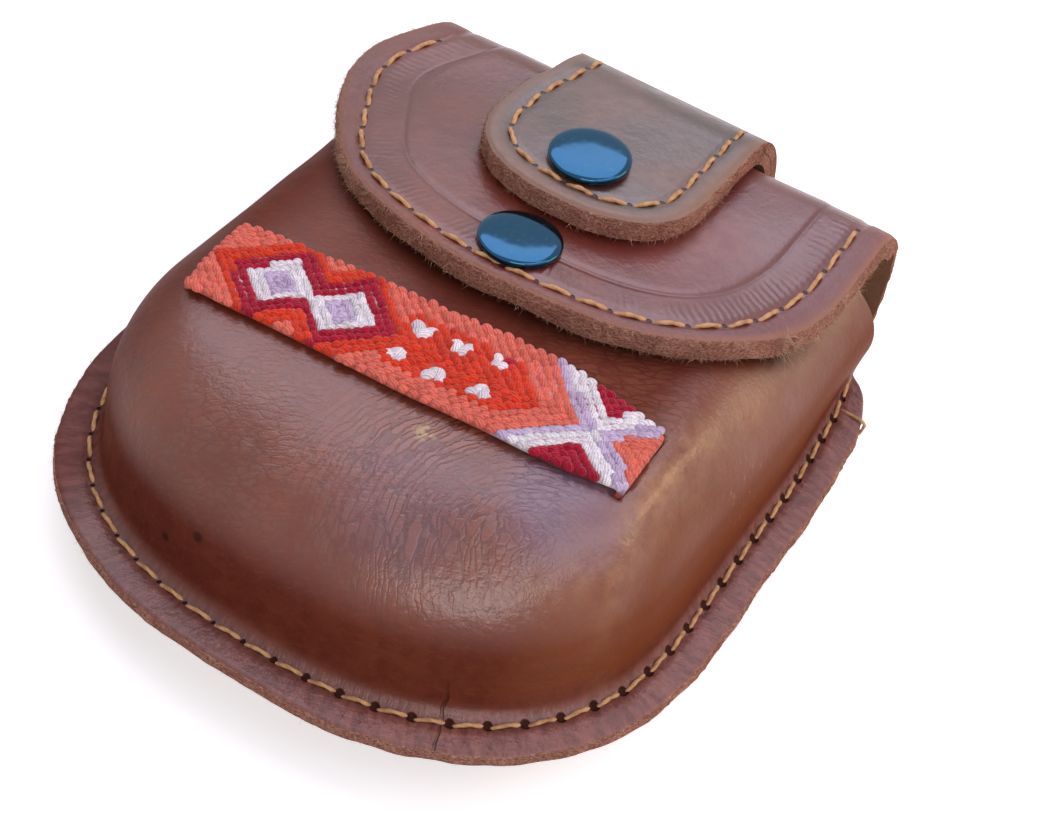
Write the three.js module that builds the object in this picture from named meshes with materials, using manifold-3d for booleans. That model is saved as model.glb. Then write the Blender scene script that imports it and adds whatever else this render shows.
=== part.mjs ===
// Belt coin purse. A wet-moulded leather pouch with a sewn flange has a flap that folds over its mouth
// and a woven band laced through its front. A strap sewn to the back loops round a belt, over the fold
// and on to the flap. Press snaps close the strap on the flap and the flap on the pouch.
// Millimetres. The purse lies on its back: +Z out of the front, +Y from the round bottom to the fold.

import * as THREE from "three";
import { mergeVertices } from "three/addons/utils/BufferGeometryUtils.js";
import Module from "manifold-3d";

const wasm = await Module();
wasm.setup();

// Leather and the gaps between pieces
const LEATHER = 1.8; // one layer
const SEAM_GAP = 0.1; // between layers that are sewn or clamped together
const HINGE_GAP = 0.3; // slit at a line where the leather bends as a hinge
const HOLE_GAP = 0.3; // round a snap's post in its hole

// Pouch outline, measured up from the bottom edge of the flange
const POUCH_HALF_WIDTH = 50.2; // flange edge, where the round bottom meets the sides
const SIDE_DRAW = 0.6; // each side draws in by this much on its way to the mouth
const ROUND_LENGTH = 43.7; // height of the round bottom
const ROUND_POWER = 2.4; // squareness of the round bottom
const FLANGE_SIDE = 6.6; // flange width along the sides
const FLANGE_BOTTOM = 7.2; // flange width at the bottom
const FLANGE_TIP = 1.6; // flange width at its upper ends
const FLANGE_TIP_LENGTH = 13; // length over which the flange narrows to its upper ends
const FLANGE_STOP = 2.5; // the flange stops this far below the mouth
const MOUTH_Y = 105; // upper edge of the front panel

// Moulded front, heights above the flange
const BELLY_HEIGHT = 22.3;
const MOUTH_HEIGHT = 18.6;
const BELLY_TOP = 52; // the crown falls from here to the mouth
const CROWN_FALL_POWER = 1.5; // how late it falls
const CROWN_DOME = 1; // the crown falls by this much towards the side shoulders
const SIDE_SHOULDER = 12.5; // plan width of the rounded shoulder along the sides
const BOTTOM_SHOULDER = 30; // plan width of the rounded shoulder at the bottom
const SHOULDER_POWER = 2.5; // squareness of the shoulder
const BELLY_BULGE = 0.8; // the side walls stand out over their foot by this much
const MOUTH_BULGE = 2.4; // and by this much at the mouth

// Fold and flap
const FOLD_START = 0.5; // the back begins to curve this far above the mouth
const FOLD_REACH = 11.2; // how far the fold stands out beyond its start
const MOUTH_GAP = 2.2; // between the front panel and the flap's lining at the mouth
const FLAP_HALF_WIDTH = 41.4;
const FLAP_LENGTH = 45.5; // from the crown of the fold to the tip
const FLAP_ROUND = 36; // length of the flap's round end
const FLAP_POWER = 2.3;
const FLAP_BEND = 14; // half the length of the soft bend in front of the crown
const FLAP_DROOP = 2.6; // the side edges hang by this much
const FLAP_DROOP_POWER = 3.5; // how closely the hang keeps to the edges
const FLAP_LINING_BACK = 10; // the lining runs this far behind the crown

// Strap
const STRAP_HALF_WIDTH = 17.6;
const STRAP_ROUND = 15; // length of the tab's round end
const STRAP_POWER = 2.3;
const STRAP_TIP_GAP = 1.8; // between the tab's tip and the rim of the flap's snap cap
const BELT_GAP = 4.5; // room for the belt
const BELT_RUN_START = 47; // lower end of the belt room
const STRAP_RAMP = 10; // the strap comes down off the back panel over this length
const STRAP_SEWN = 15; // length sewn to the back panel

// Press snaps
const CAP_DIAMETER = 12.5;
const CAP_HEIGHT = 1.6;
const CAP_RIM = 0.7; // height of the cap's edge below its dome
const CAP_POWER = 3.2; // squareness of the dome
const POST_DIAMETER = 2.8;
const SOCKET_DIAMETER = 10;
const SOCKET_HEIGHT = 1.9;
const SOCKET_PLATE = 0.5;
const SOCKET_BORE = 6;
const STUD_DIAMETER = 8.4;
const STUD_BASE = 0.5;
const NUB_DIAMETER = 4.6;
const NUB_HEIGHT = 1.2;
const NUB_ROUND = 0.5; // slope round the nub's top
const SNAP_GAP = 0.15; // between a closed socket and its stud
const FLAP_SNAP_INSET = 8.4; // from the flap's tip
const STRAP_SNAP_INSET = 10.4; // from the tab's tip

// Woven band
const BAND_WIDTH = 16.2;
const BAND_THICKNESS = 1.3; // without its knots
const BAND_HALF_SPAN = 32; // from the middle of the front to the near edge of each slot
const BAND_Y = 44.4; // middle of the band
const BAND_TILT = THREE.MathUtils.degToRad(3);
const BAND_TAIL = 6; // end turned back inside the pouch
const BAND_GAP = 0.35; // between the band and the leather
const KNOT_PITCH = 1.6; // along the band and across it
const KNOT_RISE = 0.45;

// Facet counts
const ROUND_FACETS = 24; // round a flap's, tab's or pouch's end
const BACK_SIDE_FACETS = 26; // down a side of the back panel, with its share of the fold
const FRONT_SIDE_FACETS = 11; // down a side of the front panel
const SHOULDER_FACETS = 7;
const CROWN_FACETS = 3;
const FOLD_FACETS = 10; // half of the fold
const RAMP_FACETS = 6;
const LATHE_FACETS = 24;
const DOME_FACETS = 5;
const TURN_FACETS = 5; // where the band turns back through its slot

// Materials
const leather = new THREE.MeshStandardMaterial({ color: 0x6e4132, roughness: 0.5, metalness: 0 });
const flapLeather = new THREE.MeshStandardMaterial({ color: 0x7a4a44, roughness: 0.42, metalness: 0 });
const strapLeather = new THREE.MeshStandardMaterial({ color: 0x6b4a3c, roughness: 0.5, metalness: 0 });
const suede = new THREE.MeshStandardMaterial({ color: 0x8a5f48, roughness: 0.9, metalness: 0 });
const blackEnamel = new THREE.MeshStandardMaterial({ color: 0x0b0d10, roughness: 0.12, metalness: 0 });
const darkMetal = new THREE.MeshStandardMaterial({ color: 0x3a3a3c, roughness: 0.35, metalness: 1 });
const cotton = new THREE.MeshStandardMaterial({ color: 0xd9523c, roughness: 0.9, metalness: 0 });

// Places that follow from the sizes above
const TWO_LAYERS = 2 * LEATHER + SEAM_GAP;
const FLANGE_TOP = TWO_LAYERS; // grain side of the flange
const FLANGE_END_Y = MOUTH_Y - FLANGE_STOP;
const FOOT_SEMI = ROUND_LENGTH - FLANGE_BOTTOM; // round bottom of the moulded body
const SNAP_STACK = LEATHER + SEAM_GAP + SOCKET_HEIGHT + SNAP_GAP + STUD_BASE + SEAM_GAP;
const FOLD_Y = MOUTH_Y + FOLD_START;
const CROWN_Z = FLANGE_TOP + MOUTH_HEIGHT + MOUTH_GAP + TWO_LAYERS;
const FOLD_Z = CROWN_Z / 2; // height of the fold's outermost line
const STRAP_DROP = BELT_GAP + LEATHER;
const PURSE_LENGTH = FOLD_Y + FOLD_REACH + SNAP_STACK;

const { lerp, smoothstep } = THREE.MathUtils;

// Turns a closed geometry into a solid for joining and cutting.
function solidOf(geometry) {
  const bare = geometry.clone();
  bare.deleteAttribute("normal");
  bare.deleteAttribute("uv");
  const merged = mergeVertices(bare, 1e-4);
  const vertProperties = new Float32Array(merged.attributes.position.array);
  const triVerts = new Uint32Array(merged.index.array);
  return new wasm.Manifold(new wasm.Mesh({ numProp: 3, vertProperties, triVerts }));
}

// Cuts every tool from a geometry.
function cut(geometry, tools) {
  const solid = tools.reduce((left, tool) => left.subtract(solidOf(tool)), solidOf(geometry));
  const mesh = solid.getMesh();
  const result = new THREE.BufferGeometry();
  result.setAttribute("position", new THREE.BufferAttribute(mesh.vertProperties, 3));
  result.setIndex(new THREE.BufferAttribute(mesh.triVerts, 1));
  return result;
}

// A sheet with thickness. place(column, row, side) gives a point of the flesh side (0) or the grain
// side (1). Row 0 is an outer edge, and so are the first and last columns. The last row is an outer
// edge too, unless the sheet is folded together there along its middle line.
function sheet(columns, rows, place, joinedInMiddle) {
  const positions = [];
  for (const side of [0, 1]) {
    for (let row = 0; row < rows; row += 1) {
      for (let column = 0; column < columns; column += 1) {
        positions.push(...place(column, row, side));
      }
    }
  }
  const at = (column, row, side) => (side * rows + row) * columns + column;
  const faces = [];
  const quad = (a, b, c, d) => faces.push(a, b, c, a, c, d);
  for (let row = 0; row < rows - 1; row += 1) {
    for (let column = 0; column < columns - 1; column += 1) {
      const next = column + 1;
      quad(at(column, row, 1), at(next, row, 1), at(next, row + 1, 1), at(column, row + 1, 1));
      quad(at(column, row, 0), at(column, row + 1, 0), at(next, row + 1, 0), at(next, row, 0));
    }
    quad(at(0, row, 0), at(0, row, 1), at(0, row + 1, 1), at(0, row + 1, 0));
    const last = columns - 1;
    quad(at(last, row + 1, 0), at(last, row + 1, 1), at(last, row, 1), at(last, row, 0));
  }
  for (let column = 0; column < columns - 1; column += 1) {
    quad(at(column + 1, 0, 0), at(column + 1, 0, 1), at(column, 0, 1), at(column, 0, 0));
    if (joinedInMiddle) continue;
    const end = rows - 1;
    quad(at(column, end, 0), at(column, end, 1), at(column + 1, end, 1), at(column + 1, end, 0));
  }
  const loose = new THREE.BufferGeometry();
  loose.setAttribute("position", new THREE.Float32BufferAttribute(positions, 3));
  loose.setIndex(faces);
  const welded = mergeVertices(loose, 1e-4);
  const kept = [];
  const index = welded.index.array;
  for (let i = 0; i < index.length; i += 3) {
    const [a, b, c] = index.slice(i, i + 3);
    if (a !== b && b !== c && c !== a) kept.push(a, b, c);
  }
  welded.setIndex(kept);
  return welded;
}

// Columns of a tongue shape: down the left side, round the end and up the right side. Each column of a
// side holds its share of the way down from the top, and each one of the round end holds its angle.
function tongueColumns(falls) {
  const left = falls.map((fall) => ({ sign: -1, fall, angle: 0 }));
  const right = falls.map((fall) => ({ sign: 1, fall, angle: Math.PI })).reverse();
  const round = evenSteps(ROUND_FACETS).map((share) => ({ fall: 1, angle: Math.PI * share }));
  return [...left, ...round, ...right];
}

// Shares from 0 to 1 in equal steps
function evenSteps(count) {
  return Array.from({ length: count + 1 }, (_, i) => i / count);
}

// Point of a tongue at a share of the way out from its middle line. The sides run from top to centre,
// and half(y) is their half-width. The round end is half a superellipse of the given height.
function tonguePoint(column, out, { top, centre, half, round, power }) {
  if (column.fall < 1) {
    const y = lerp(top, centre, column.fall);
    return [column.sign * out * half(y), y];
  }
  const across = Math.cos(column.angle);
  const down = Math.sin(column.angle);
  const x = -Math.sign(across) * Math.abs(across) ** (2 / power) * half(centre);
  const y = Math.abs(down) ** (2 / power) * round;
  return [x * out, centre - y * out];
}

// Half-width of the flange's edge and of the moulded body's foot
function footHalf(y) {
  return POUCH_HALF_WIDTH - FLANGE_SIDE - SIDE_DRAW * smoothstep(y, ROUND_LENGTH, FLANGE_END_Y);
}

function edgeHalf(y) {
  const into = Math.max(0, y - FLANGE_END_Y + FLANGE_TIP_LENGTH) / FLANGE_TIP_LENGTH;
  const roundOff = Math.sqrt(1 - Math.min(1, into) ** 2);
  return footHalf(y) + lerp(FLANGE_TIP, FLANGE_SIDE, roundOff);
}

// Height of the front panel at a point. inset 0 is the grain side and LEATHER is the flesh side. The
// body rises from its foot as a superellipse whose plan width is the shoulder, up to the crown.
function frontZ(x, y, inset) {
  const across = Math.abs(x) / (footHalf(Math.max(y, ROUND_LENGTH)) - inset);
  const down = Math.max(0, ROUND_LENGTH - y) / (FOOT_SEMI - inset);
  const power = across ** ROUND_POWER + down ** ROUND_POWER;
  const out = Math.min(1, power ** (1 / ROUND_POWER));
  const bottomShare = power > 0 ? down ** ROUND_POWER / power : 0;
  const shoulder = lerp(SIDE_SHOULDER / footHalf(y), BOTTOM_SHOULDER / FOOT_SEMI, bottomShare);
  const climb = Math.min(1, (1 - out) / shoulder);
  const rise = (1 - (1 - climb) ** SHOULDER_POWER) ** (1 / SHOULDER_POWER);
  const fall = (Math.max(0, y - BELLY_TOP) / (MOUTH_Y - BELLY_TOP)) ** CROWN_FALL_POWER;
  const crown = lerp(BELLY_HEIGHT, MOUTH_HEIGHT, fall) - CROWN_DOME * across ** 2;
  return FLANGE_TOP - inset + crown * rise;
}

function frontNormal(x, y) {
  const step = 0.05;
  const slopeX = (frontZ(x + step, y, 0) - frontZ(x - step, y, 0)) / (2 * step);
  const slopeY = (frontZ(x, y + step, 0) - frontZ(x, y - step, 0)) / (2 * step);
  return new THREE.Vector3(-slopeX, -slopeY, 1).normalize();
}

// The hide is one line in the Y-Z plane: up the back panel, round the fold and down the flap to its tip.
// The flap rises to clear the front panel by the height of the closed snap.
const flapSnapY = FOLD_Y - FLAP_LENGTH + FLAP_SNAP_INSET;
const flapSnapZ = frontZ(0, flapSnapY, 0) + SNAP_STACK;
const bendStart = new THREE.Vector2(FOLD_Y - FLAP_BEND, CROWN_Z);
const flapWay = new THREE.Vector2(flapSnapY, flapSnapZ).sub(bendStart).normalize();
const bendEnd = bendStart.clone().addScaledVector(flapWay, FLAP_BEND);
const flapTip = bendStart.clone().addScaledVector(flapWay, FLAP_LENGTH - FLAP_BEND);
const hide = new THREE.Path();
hide.moveTo(0, 0);
hide.lineTo(FOLD_Y, 0);
hide.absellipse(FOLD_Y, FOLD_Z, FOLD_REACH, FOLD_Z, -Math.PI / 2, Math.PI / 2, false);
hide.quadraticCurveTo(bendStart.x, bendStart.y, bendEnd.x, bendEnd.y);
hide.lineTo(flapTip.x, flapTip.y);
const [backLength, foldEnd, , hideLength] = hide.getCurveLengths();
const hingeAt = (backLength + foldEnd) / 2;
const flapSnapAt = hideLength - FLAP_SNAP_INSET;
const strapTipAt = flapSnapAt - CAP_DIAMETER / 2 - STRAP_TIP_GAP;
const strapSnapAt = strapTipAt - STRAP_SNAP_INSET;

// Frame of a line at a length along it: the point, and the way out of the leather's grain side.
function frameAt(line, lineLength, along) {
  const share = along / lineLength;
  const point = line.getPoint(share);
  const tangent = line.getTangent(share);
  return { point, out: new THREE.Vector2(tangent.y, -tangent.x) };
}

// Point of a layer that follows the hide, a distance outside its grain side. The flap's sides hang.
function onHide(x, along, outside) {
  const { point, out } = frameAt(hide, hideLength, along);
  const hang = FLAP_DROOP * Math.min(1, Math.abs(x) / FLAP_HALF_WIDTH) ** FLAP_DROOP_POWER;
  const share = smoothstep(along, foldEnd, foldEnd + 2 * FLAP_BEND);
  return [x, point.x + out.x * outside, point.y + out.y * outside - hang * share];
}

// A layer of the hide or of the strap over it: a tongue from one length along the hide to its tip.
function hideLayer({ stops, tip, half, round, power, outside, rings }) {
  const [top] = stops;
  const centre = tip - round;
  const columns = tongueColumns(stops.map((stop) => (stop - top) / (centre - top)));
  const outline = { top, centre, half, round: -round, power };
  const place = (column, row, side) => {
    const [x, along] = tonguePoint(columns[column], rings[row], outline);
    return onHide(x, along, outside - (1 - side) * LEATHER);
  };
  return sheet(columns.length, rings.length, place, true);
}

// A strip of the strap over the fold, from one length along the hide to another.
function foldStrip(from, to, outside) {
  const place = (column, row, side) => {
    const x = lerp(STRAP_HALF_WIDTH, -STRAP_HALF_WIDTH, column);
    return onHide(x, lerp(from, to, row / FOLD_FACETS), outside - (1 - side) * LEATHER);
  };
  return sheet(2, FOLD_FACETS + 1, place, false);
}

// A round post hole through leather, on the line that a snap sits on.
function holeTool(diameter, depth) {
  return new THREE.CylinderGeometry(diameter / 2, diameter / 2, depth, LATHE_FACETS).rotateX(Math.PI / 2);
}

// Places a tool or a piece on the hide: its local +Z points out of the grain side.
function poseOnHide(along, outside) {
  const { out } = frameAt(hide, hideLength, along);
  const place = new THREE.Vector3(...onHide(0, along, outside));
  const way = new THREE.Vector3(0, out.x, out.y);
  return new THREE.Matrix4().compose(place, turnTo(way), new THREE.Vector3(1, 1, 1));
}

function poseOnFront(y, outside) {
  const normal = frontNormal(0, y);
  const place = new THREE.Vector3(0, y, frontZ(0, y, 0)).addScaledVector(normal, outside);
  return new THREE.Matrix4().compose(place, turnTo(normal), new THREE.Vector3(1, 1, 1));
}

function turnTo(way) {
  return new THREE.Quaternion().setFromUnitVectors(new THREE.Vector3(0, 0, 1), way);
}

// Revolves a profile of [radius, height] points about Z.
function revolve(profile) {
  const points = profile.map(([radius, height]) => new THREE.Vector2(radius, height));
  return new THREE.LatheGeometry(points, LATHE_FACETS).rotateX(Math.PI / 2);
}

// Snap cap: a low dome on the grain side with a post that goes down through the leather to the socket.
function snapCap() {
  const radius = CAP_DIAMETER / 2;
  const post = POST_DIAMETER / 2;
  const reach = LEATHER + 2 * SEAM_GAP + SOCKET_PLATE;
  const profile = [[0, -reach], [post, -reach], [post, 0], [radius - CAP_RIM / 2, 0], [radius, CAP_RIM / 2]];
  for (const share of evenSteps(DOME_FACETS).slice(0, -1)) {
    const angle = (share * Math.PI) / 2;
    const height = lerp(CAP_RIM, CAP_HEIGHT, Math.sin(angle) ** (2 / CAP_POWER));
    profile.push([radius * Math.cos(angle) ** (2 / CAP_POWER), height]);
  }
  profile.push([0, CAP_HEIGHT]);
  return revolve(profile);
}

// Snap socket: a ring under the outer leather. Its plate takes the cap's post and its bore takes the stud.
function snapSocket() {
  const radius = SOCKET_DIAMETER / 2;
  const bore = SOCKET_BORE / 2;
  const post = POST_DIAMETER / 2 + HOLE_GAP;
  const edge = SOCKET_PLATE / 2;
  const deep = -SOCKET_HEIGHT;
  return revolve([
    [post, 0], [post, -SOCKET_PLATE], [bore, -SOCKET_PLATE], [bore, deep], [radius - edge, deep],
    [radius, deep + edge], [radius, -edge], [radius - edge, 0], [post, 0],
  ]);
}

// Snap stud: a flat base with a round-headed nub, bored from below for the post that holds it.
function snapStud() {
  const radius = STUD_DIAMETER / 2;
  const nub = NUB_DIAMETER / 2;
  const bore = POST_DIAMETER / 2 + HOLE_GAP / 2;
  const top = STUD_BASE + NUB_HEIGHT;
  const neck = nub - HOLE_GAP / 2;
  return revolve([
    [0, STUD_BASE], [bore, STUD_BASE], [bore, 0], [radius, 0], [radius, STUD_BASE / 2],
    [radius - STUD_BASE / 2, STUD_BASE], [neck, STUD_BASE], [nub, STUD_BASE + NUB_HEIGHT / 2],
    [nub - NUB_ROUND, top], [0, top],
  ]);
}

// Stud post: a flange on the flesh side whose post goes up through the leather into the stud.
function studPost(layers) {
  const radius = STUD_DIAMETER / 2;
  const post = POST_DIAMETER / 2;
  const reach = layers + 2 * SEAM_GAP + STUD_BASE / 2;
  return revolve([
    [0, -STUD_BASE], [radius - STUD_BASE / 2, -STUD_BASE], [radius, -STUD_BASE / 2], [radius, 0],
    [post, 0], [post, reach], [0, reach],
  ]);
}

// Back panel: flat under the pouch with the flange's outline, narrowed to the flap's width above it and
// curved up round the lower half of the fold.
function backPanel() {
  const columns = tongueColumns(evenSteps(BACK_SIDE_FACETS).slice(0, -1));
  const half = (y) => (y > FLANGE_END_Y ? FLAP_HALF_WIDTH : edgeHalf(y));
  const top = hingeAt - HINGE_GAP / 2;
  const outline = { top, centre: ROUND_LENGTH, half, round: ROUND_LENGTH, power: ROUND_POWER };
  const place = (column, row, side) => {
    const [x, along] = tonguePoint(columns[column], 1 - row, outline);
    return onHide(x, along, -side * LEATHER);
  };
  return sheet(columns.length, 2, place, true);
}

// Front panel: a flange that lies on the back panel and the moulded body inside it, open at the mouth.
// Its rings run from the flange's edge to the body's foot, up the shoulder and in to the middle line.
function frontPanel() {
  const columns = tongueColumns(evenSteps(FRONT_SIDE_FACETS).slice(0, -1));
  const flange = { half: edgeHalf, round: ROUND_LENGTH, power: ROUND_POWER, centre: ROUND_LENGTH };
  const shoulderRings = evenSteps(SHOULDER_FACETS).map((climb) => ({ climb, inward: 0 }));
  const crownRings = evenSteps(CROWN_FACETS).map((inward) => ({ climb: 1, inward }));
  const rings = [{ onFlange: true }, ...shoulderRings, ...crownRings.slice(1)];
  const place = (column, row, side) => {
    const inset = (1 - side) * LEATHER;
    const shape = columns[column];
    const { onFlange, climb, inward } = rings[row];
    if (onFlange) {
      const [x, y] = tonguePoint(shape, 1, { ...flange, top: FLANGE_END_Y });
      return [x, y, FLANGE_TOP - inset];
    }
    const bottomShare = shape.fall < 1 ? 0 : Math.sin(shape.angle) ** 2;
    const shoulder = lerp(SIDE_SHOULDER / footHalf(ROUND_LENGTH), BOTTOM_SHOULDER / FOOT_SEMI, bottomShare);
    const turned = 1 - Math.cos((climb * Math.PI) / 2) ** (2 / SHOULDER_POWER);
    const out = (1 - shoulder * turned) * (1 - inward);
    const half = (y) => footHalf(y) - inset;
    const foot = { half, round: FOOT_SEMI - inset, power: ROUND_POWER, centre: ROUND_LENGTH };
    const [x, y] = tonguePoint(shape, out, { ...foot, top: MOUTH_Y });
    const z = frontZ(x, y, inset);
    const rise = Math.min(1, (z + inset - FLANGE_TOP) / MOUTH_HEIGHT);
    const bulge = lerp(BELLY_BULGE, MOUTH_BULGE, smoothstep(y, ROUND_LENGTH, MOUTH_Y));
    const stand = Math.sign(x) * bulge * Math.sin(Math.PI * rise) * (1 - bottomShare);
    return [x + stand, y, z];
  };
  const shell = sheet(columns.length, rings.length, place, true);
  const hole = holeTool(POST_DIAMETER + 2 * HOLE_GAP, 4 * LEATHER).applyMatrix4(poseOnFront(flapSnapY, 0));
  return cut(shell, [hole, slotTool(-1), slotTool(1)]);
}

// Frame of the front panel's leather under the band: its middle, half its thickness and its directions.
function bandSeat(along, across) {
  const x = along * Math.cos(BAND_TILT) - across * Math.sin(BAND_TILT);
  const y = BAND_Y + along * Math.sin(BAND_TILT) + across * Math.cos(BAND_TILT);
  const normal = frontNormal(x, y);
  const halfThickness = (LEATHER / 2) * (normal.z + Math.hypot(normal.x, normal.y));
  const middle = new THREE.Vector3(x, y, frontZ(x, y, 0)).addScaledVector(normal, -halfThickness);
  const width = new THREE.Vector3(-Math.sin(BAND_TILT), Math.cos(BAND_TILT), 0);
  const run = new THREE.Vector3().crossVectors(width, normal).normalize();
  return { middle, normal, run, halfThickness };
}

// Slot for one end of the band, cut square to the leather.
function slotTool(end) {
  const { middle, normal, run, halfThickness } = bandSeat(end * BAND_HALF_SPAN, 0);
  const length = halfThickness + 2 * BAND_GAP + BAND_THICKNESS;
  const tool = new THREE.BoxGeometry(length, BAND_WIDTH + 4 * BAND_GAP, 6 * LEATHER);
  tool.translate(end * (BAND_GAP + length / 2), 0, 0);
  const width = new THREE.Vector3().crossVectors(normal, run);
  return tool.applyMatrix4(new THREE.Matrix4().makeBasis(run, width, normal).setPosition(middle));
}

// Woven band: knotted cotton that lies on the front, turns down through a slot at each end and lies
// back against the flesh side. Its face is a field of raised knots.
function wovenBand() {
  const runSteps = 2 * Math.round(BAND_HALF_SPAN / KNOT_PITCH);
  const widthSteps = Math.round(BAND_WIDTH / KNOT_PITCH);
  const endStations = (sign) => {
    const tail = { along: sign * (BAND_HALF_SPAN - BAND_TAIL), angle: Math.PI };
    const turn = evenSteps(TURN_FACETS).slice(1).map((share) => {
      return { along: sign * BAND_HALF_SPAN, angle: Math.PI * share, sign };
    });
    return [...turn, tail];
  };
  const face = evenSteps(runSteps).map((share, knot) => {
    return { along: lerp(-BAND_HALF_SPAN, BAND_HALF_SPAN, share), angle: 0, knot };
  });
  const stations = [...endStations(-1).reverse(), ...face, ...endStations(1)];
  const place = (column, row, side) => {
    const { along, angle, knot, sign = 0 } = stations[row];
    const across = lerp(BAND_WIDTH / 2, -BAND_WIDTH / 2, column / widthSteps);
    const { middle, normal, run, halfThickness } = bandSeat(along, across);
    const inner = column > 0 && column < widthSteps && knot > 0 && knot < runSteps;
    const raised = inner && (knot + column) % 2 ? KNOT_RISE : 0;
    const radius = halfThickness + BAND_GAP + side * (BAND_THICKNESS + raised);
    const point = middle.clone().addScaledVector(normal, radius * Math.cos(angle));
    return point.addScaledVector(run, sign * radius * Math.sin(angle)).toArray();
  };
  return sheet(widthSteps + 1, stations.length, place, false);
}

// Back of the strap: sewn flat to the back panel, out past the belt's room and up to the fold.
function strapBack() {
  const line = new THREE.Path();
  const sewnZ = -SEAM_GAP - LEATHER;
  const rampStart = BELT_RUN_START - STRAP_RAMP;
  line.moveTo(rampStart - STRAP_SEWN, sewnZ);
  line.lineTo(rampStart, sewnZ);
  const easing = STRAP_RAMP / 2;
  line.bezierCurveTo(
    rampStart + easing, sewnZ, BELT_RUN_START - easing, -STRAP_DROP, BELT_RUN_START, -STRAP_DROP,
  );
  line.lineTo(FOLD_Y, -STRAP_DROP);
  const reach = FOLD_REACH + SNAP_STACK;
  line.absellipse(FOLD_Y, FOLD_Z, reach, FOLD_Z + STRAP_DROP, -Math.PI / 2, 0, false);
  const lengths = line.getCurveLengths();
  const [sewnEnd, rampEnd, runEnd] = lengths;
  const total = lengths.at(-1);
  const rampStops = evenSteps(RAMP_FACETS).map((share) => lerp(sewnEnd, rampEnd, share));
  const foldStops = evenSteps(FOLD_FACETS).map((share) => lerp(runEnd, total - HINGE_GAP / 2, share));
  const stops = [0, ...rampStops, ...foldStops];
  const place = (column, row, side) => {
    const { point, out } = frameAt(line, total, stops[row]);
    const inward = side * LEATHER;
    const x = lerp(-STRAP_HALF_WIDTH, STRAP_HALF_WIDTH, column);
    return [x, point.x - out.x * inward, point.y - out.y * inward];
  };
  return sheet(2, stops.length, place, false);
}

// Layers of the flap and of the strap over it, each with the holes that its snaps need
const flapHalf = () => FLAP_HALF_WIDTH;
const strapHalf = () => STRAP_HALF_WIDTH;
const flapShape = { tip: hideLength, half: flapHalf, round: FLAP_ROUND, power: FLAP_POWER };
const tabShape = { tip: strapTipAt, half: strapHalf, round: STRAP_ROUND, power: STRAP_POWER };
const secondLayer = LEATHER + SEAM_GAP;
const postHole = POST_DIAMETER + 2 * HOLE_GAP;
const socketHole = SOCKET_DIAMETER + 2 * HOLE_GAP;
const flapRings = [1, 0.85, 0.62, 0.36, 0];
const tabRings = [1, 0.5, 0];

function holed(geometry, holes, outside) {
  const depth = 2 * LEATHER;
  const tools = holes.map(([at, size]) => {
    return holeTool(size, depth).applyMatrix4(poseOnHide(at, outside - LEATHER / 2));
  });
  return cut(geometry, tools);
}

// Both layers of the flap bend at the same lengths along the hide, so that they stay clear of each other.
function flapLayer(from, outside, holes) {
  const foldStops = evenSteps(FOLD_FACETS).map((share) => lerp(hingeAt, foldEnd, share));
  const frontStops = evenSteps(4).map((share) => lerp(foldEnd, hideLength - FLAP_ROUND, share)).slice(1, -1);
  const stops = [from, ...foldStops.filter((stop) => stop > from + HINGE_GAP), ...frontStops];
  return holed(hideLayer({ ...flapShape, stops, outside, rings: flapRings }), holes, outside);
}

function tabLayer(outside, hole) {
  const from = foldEnd + HINGE_GAP / 2;
  const stops = evenSteps(3).map((share) => lerp(from, strapTipAt - STRAP_ROUND, share)).slice(0, -1);
  return holed(hideLayer({ ...tabShape, stops, outside, rings: tabRings }), [[strapSnapAt, hole]], outside);
}

// Assembly
const purse = new THREE.Group();
purse.position.set(0, -PURSE_LENGTH / 2, STRAP_DROP);

function add(name, geometry, material, pose) {
  const mesh = new THREE.Mesh(geometry, material);
  mesh.name = name;
  if (pose) mesh.applyMatrix4(pose);
  purse.add(mesh);
}

const flapStart = hingeAt + HINGE_GAP / 2;
const strapFoldEnd = foldEnd - HINGE_GAP / 2;
const capSeat = SEAM_GAP;
const socketSeat = -LEATHER - SEAM_GAP;

add("back_panel", backPanel(), leather);
add("front_panel", frontPanel(), leather);
add("woven_band", wovenBand(), cotton);
add("flap_snap_stud", snapStud(), darkMetal, poseOnFront(flapSnapY, SEAM_GAP));
add("flap_snap_stud_post", studPost(LEATHER), darkMetal, poseOnFront(flapSnapY, -LEATHER - SEAM_GAP));
add("strap_back", strapBack(), strapLeather);

add("flap_outer", flapLayer(flapStart, 0, [[flapSnapAt, postHole], [strapSnapAt, postHole]]), flapLeather);
const liningStart = foldEnd - FLAP_LINING_BACK;
const liningHoles = [[flapSnapAt, socketHole], [strapSnapAt, postHole]];
add("flap_lining", flapLayer(liningStart, -secondLayer, liningHoles), suede);
add("flap_snap_cap", snapCap(), blackEnamel, poseOnHide(flapSnapAt, capSeat));
add("flap_snap_socket", snapSocket(), darkMetal, poseOnHide(flapSnapAt, socketSeat));
add("strap_snap_stud", snapStud(), darkMetal, poseOnHide(strapSnapAt, SEAM_GAP));
const strapPostSeat = -TWO_LAYERS - SEAM_GAP;
add("strap_snap_stud_post", studPost(TWO_LAYERS), darkMetal, poseOnHide(strapSnapAt, strapPostSeat));
add("strap_fold_outer", foldStrip(flapStart, strapFoldEnd, SNAP_STACK), strapLeather);
add("strap_fold_lining", foldStrip(flapStart, strapFoldEnd, SNAP_STACK - secondLayer), suede);

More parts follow.
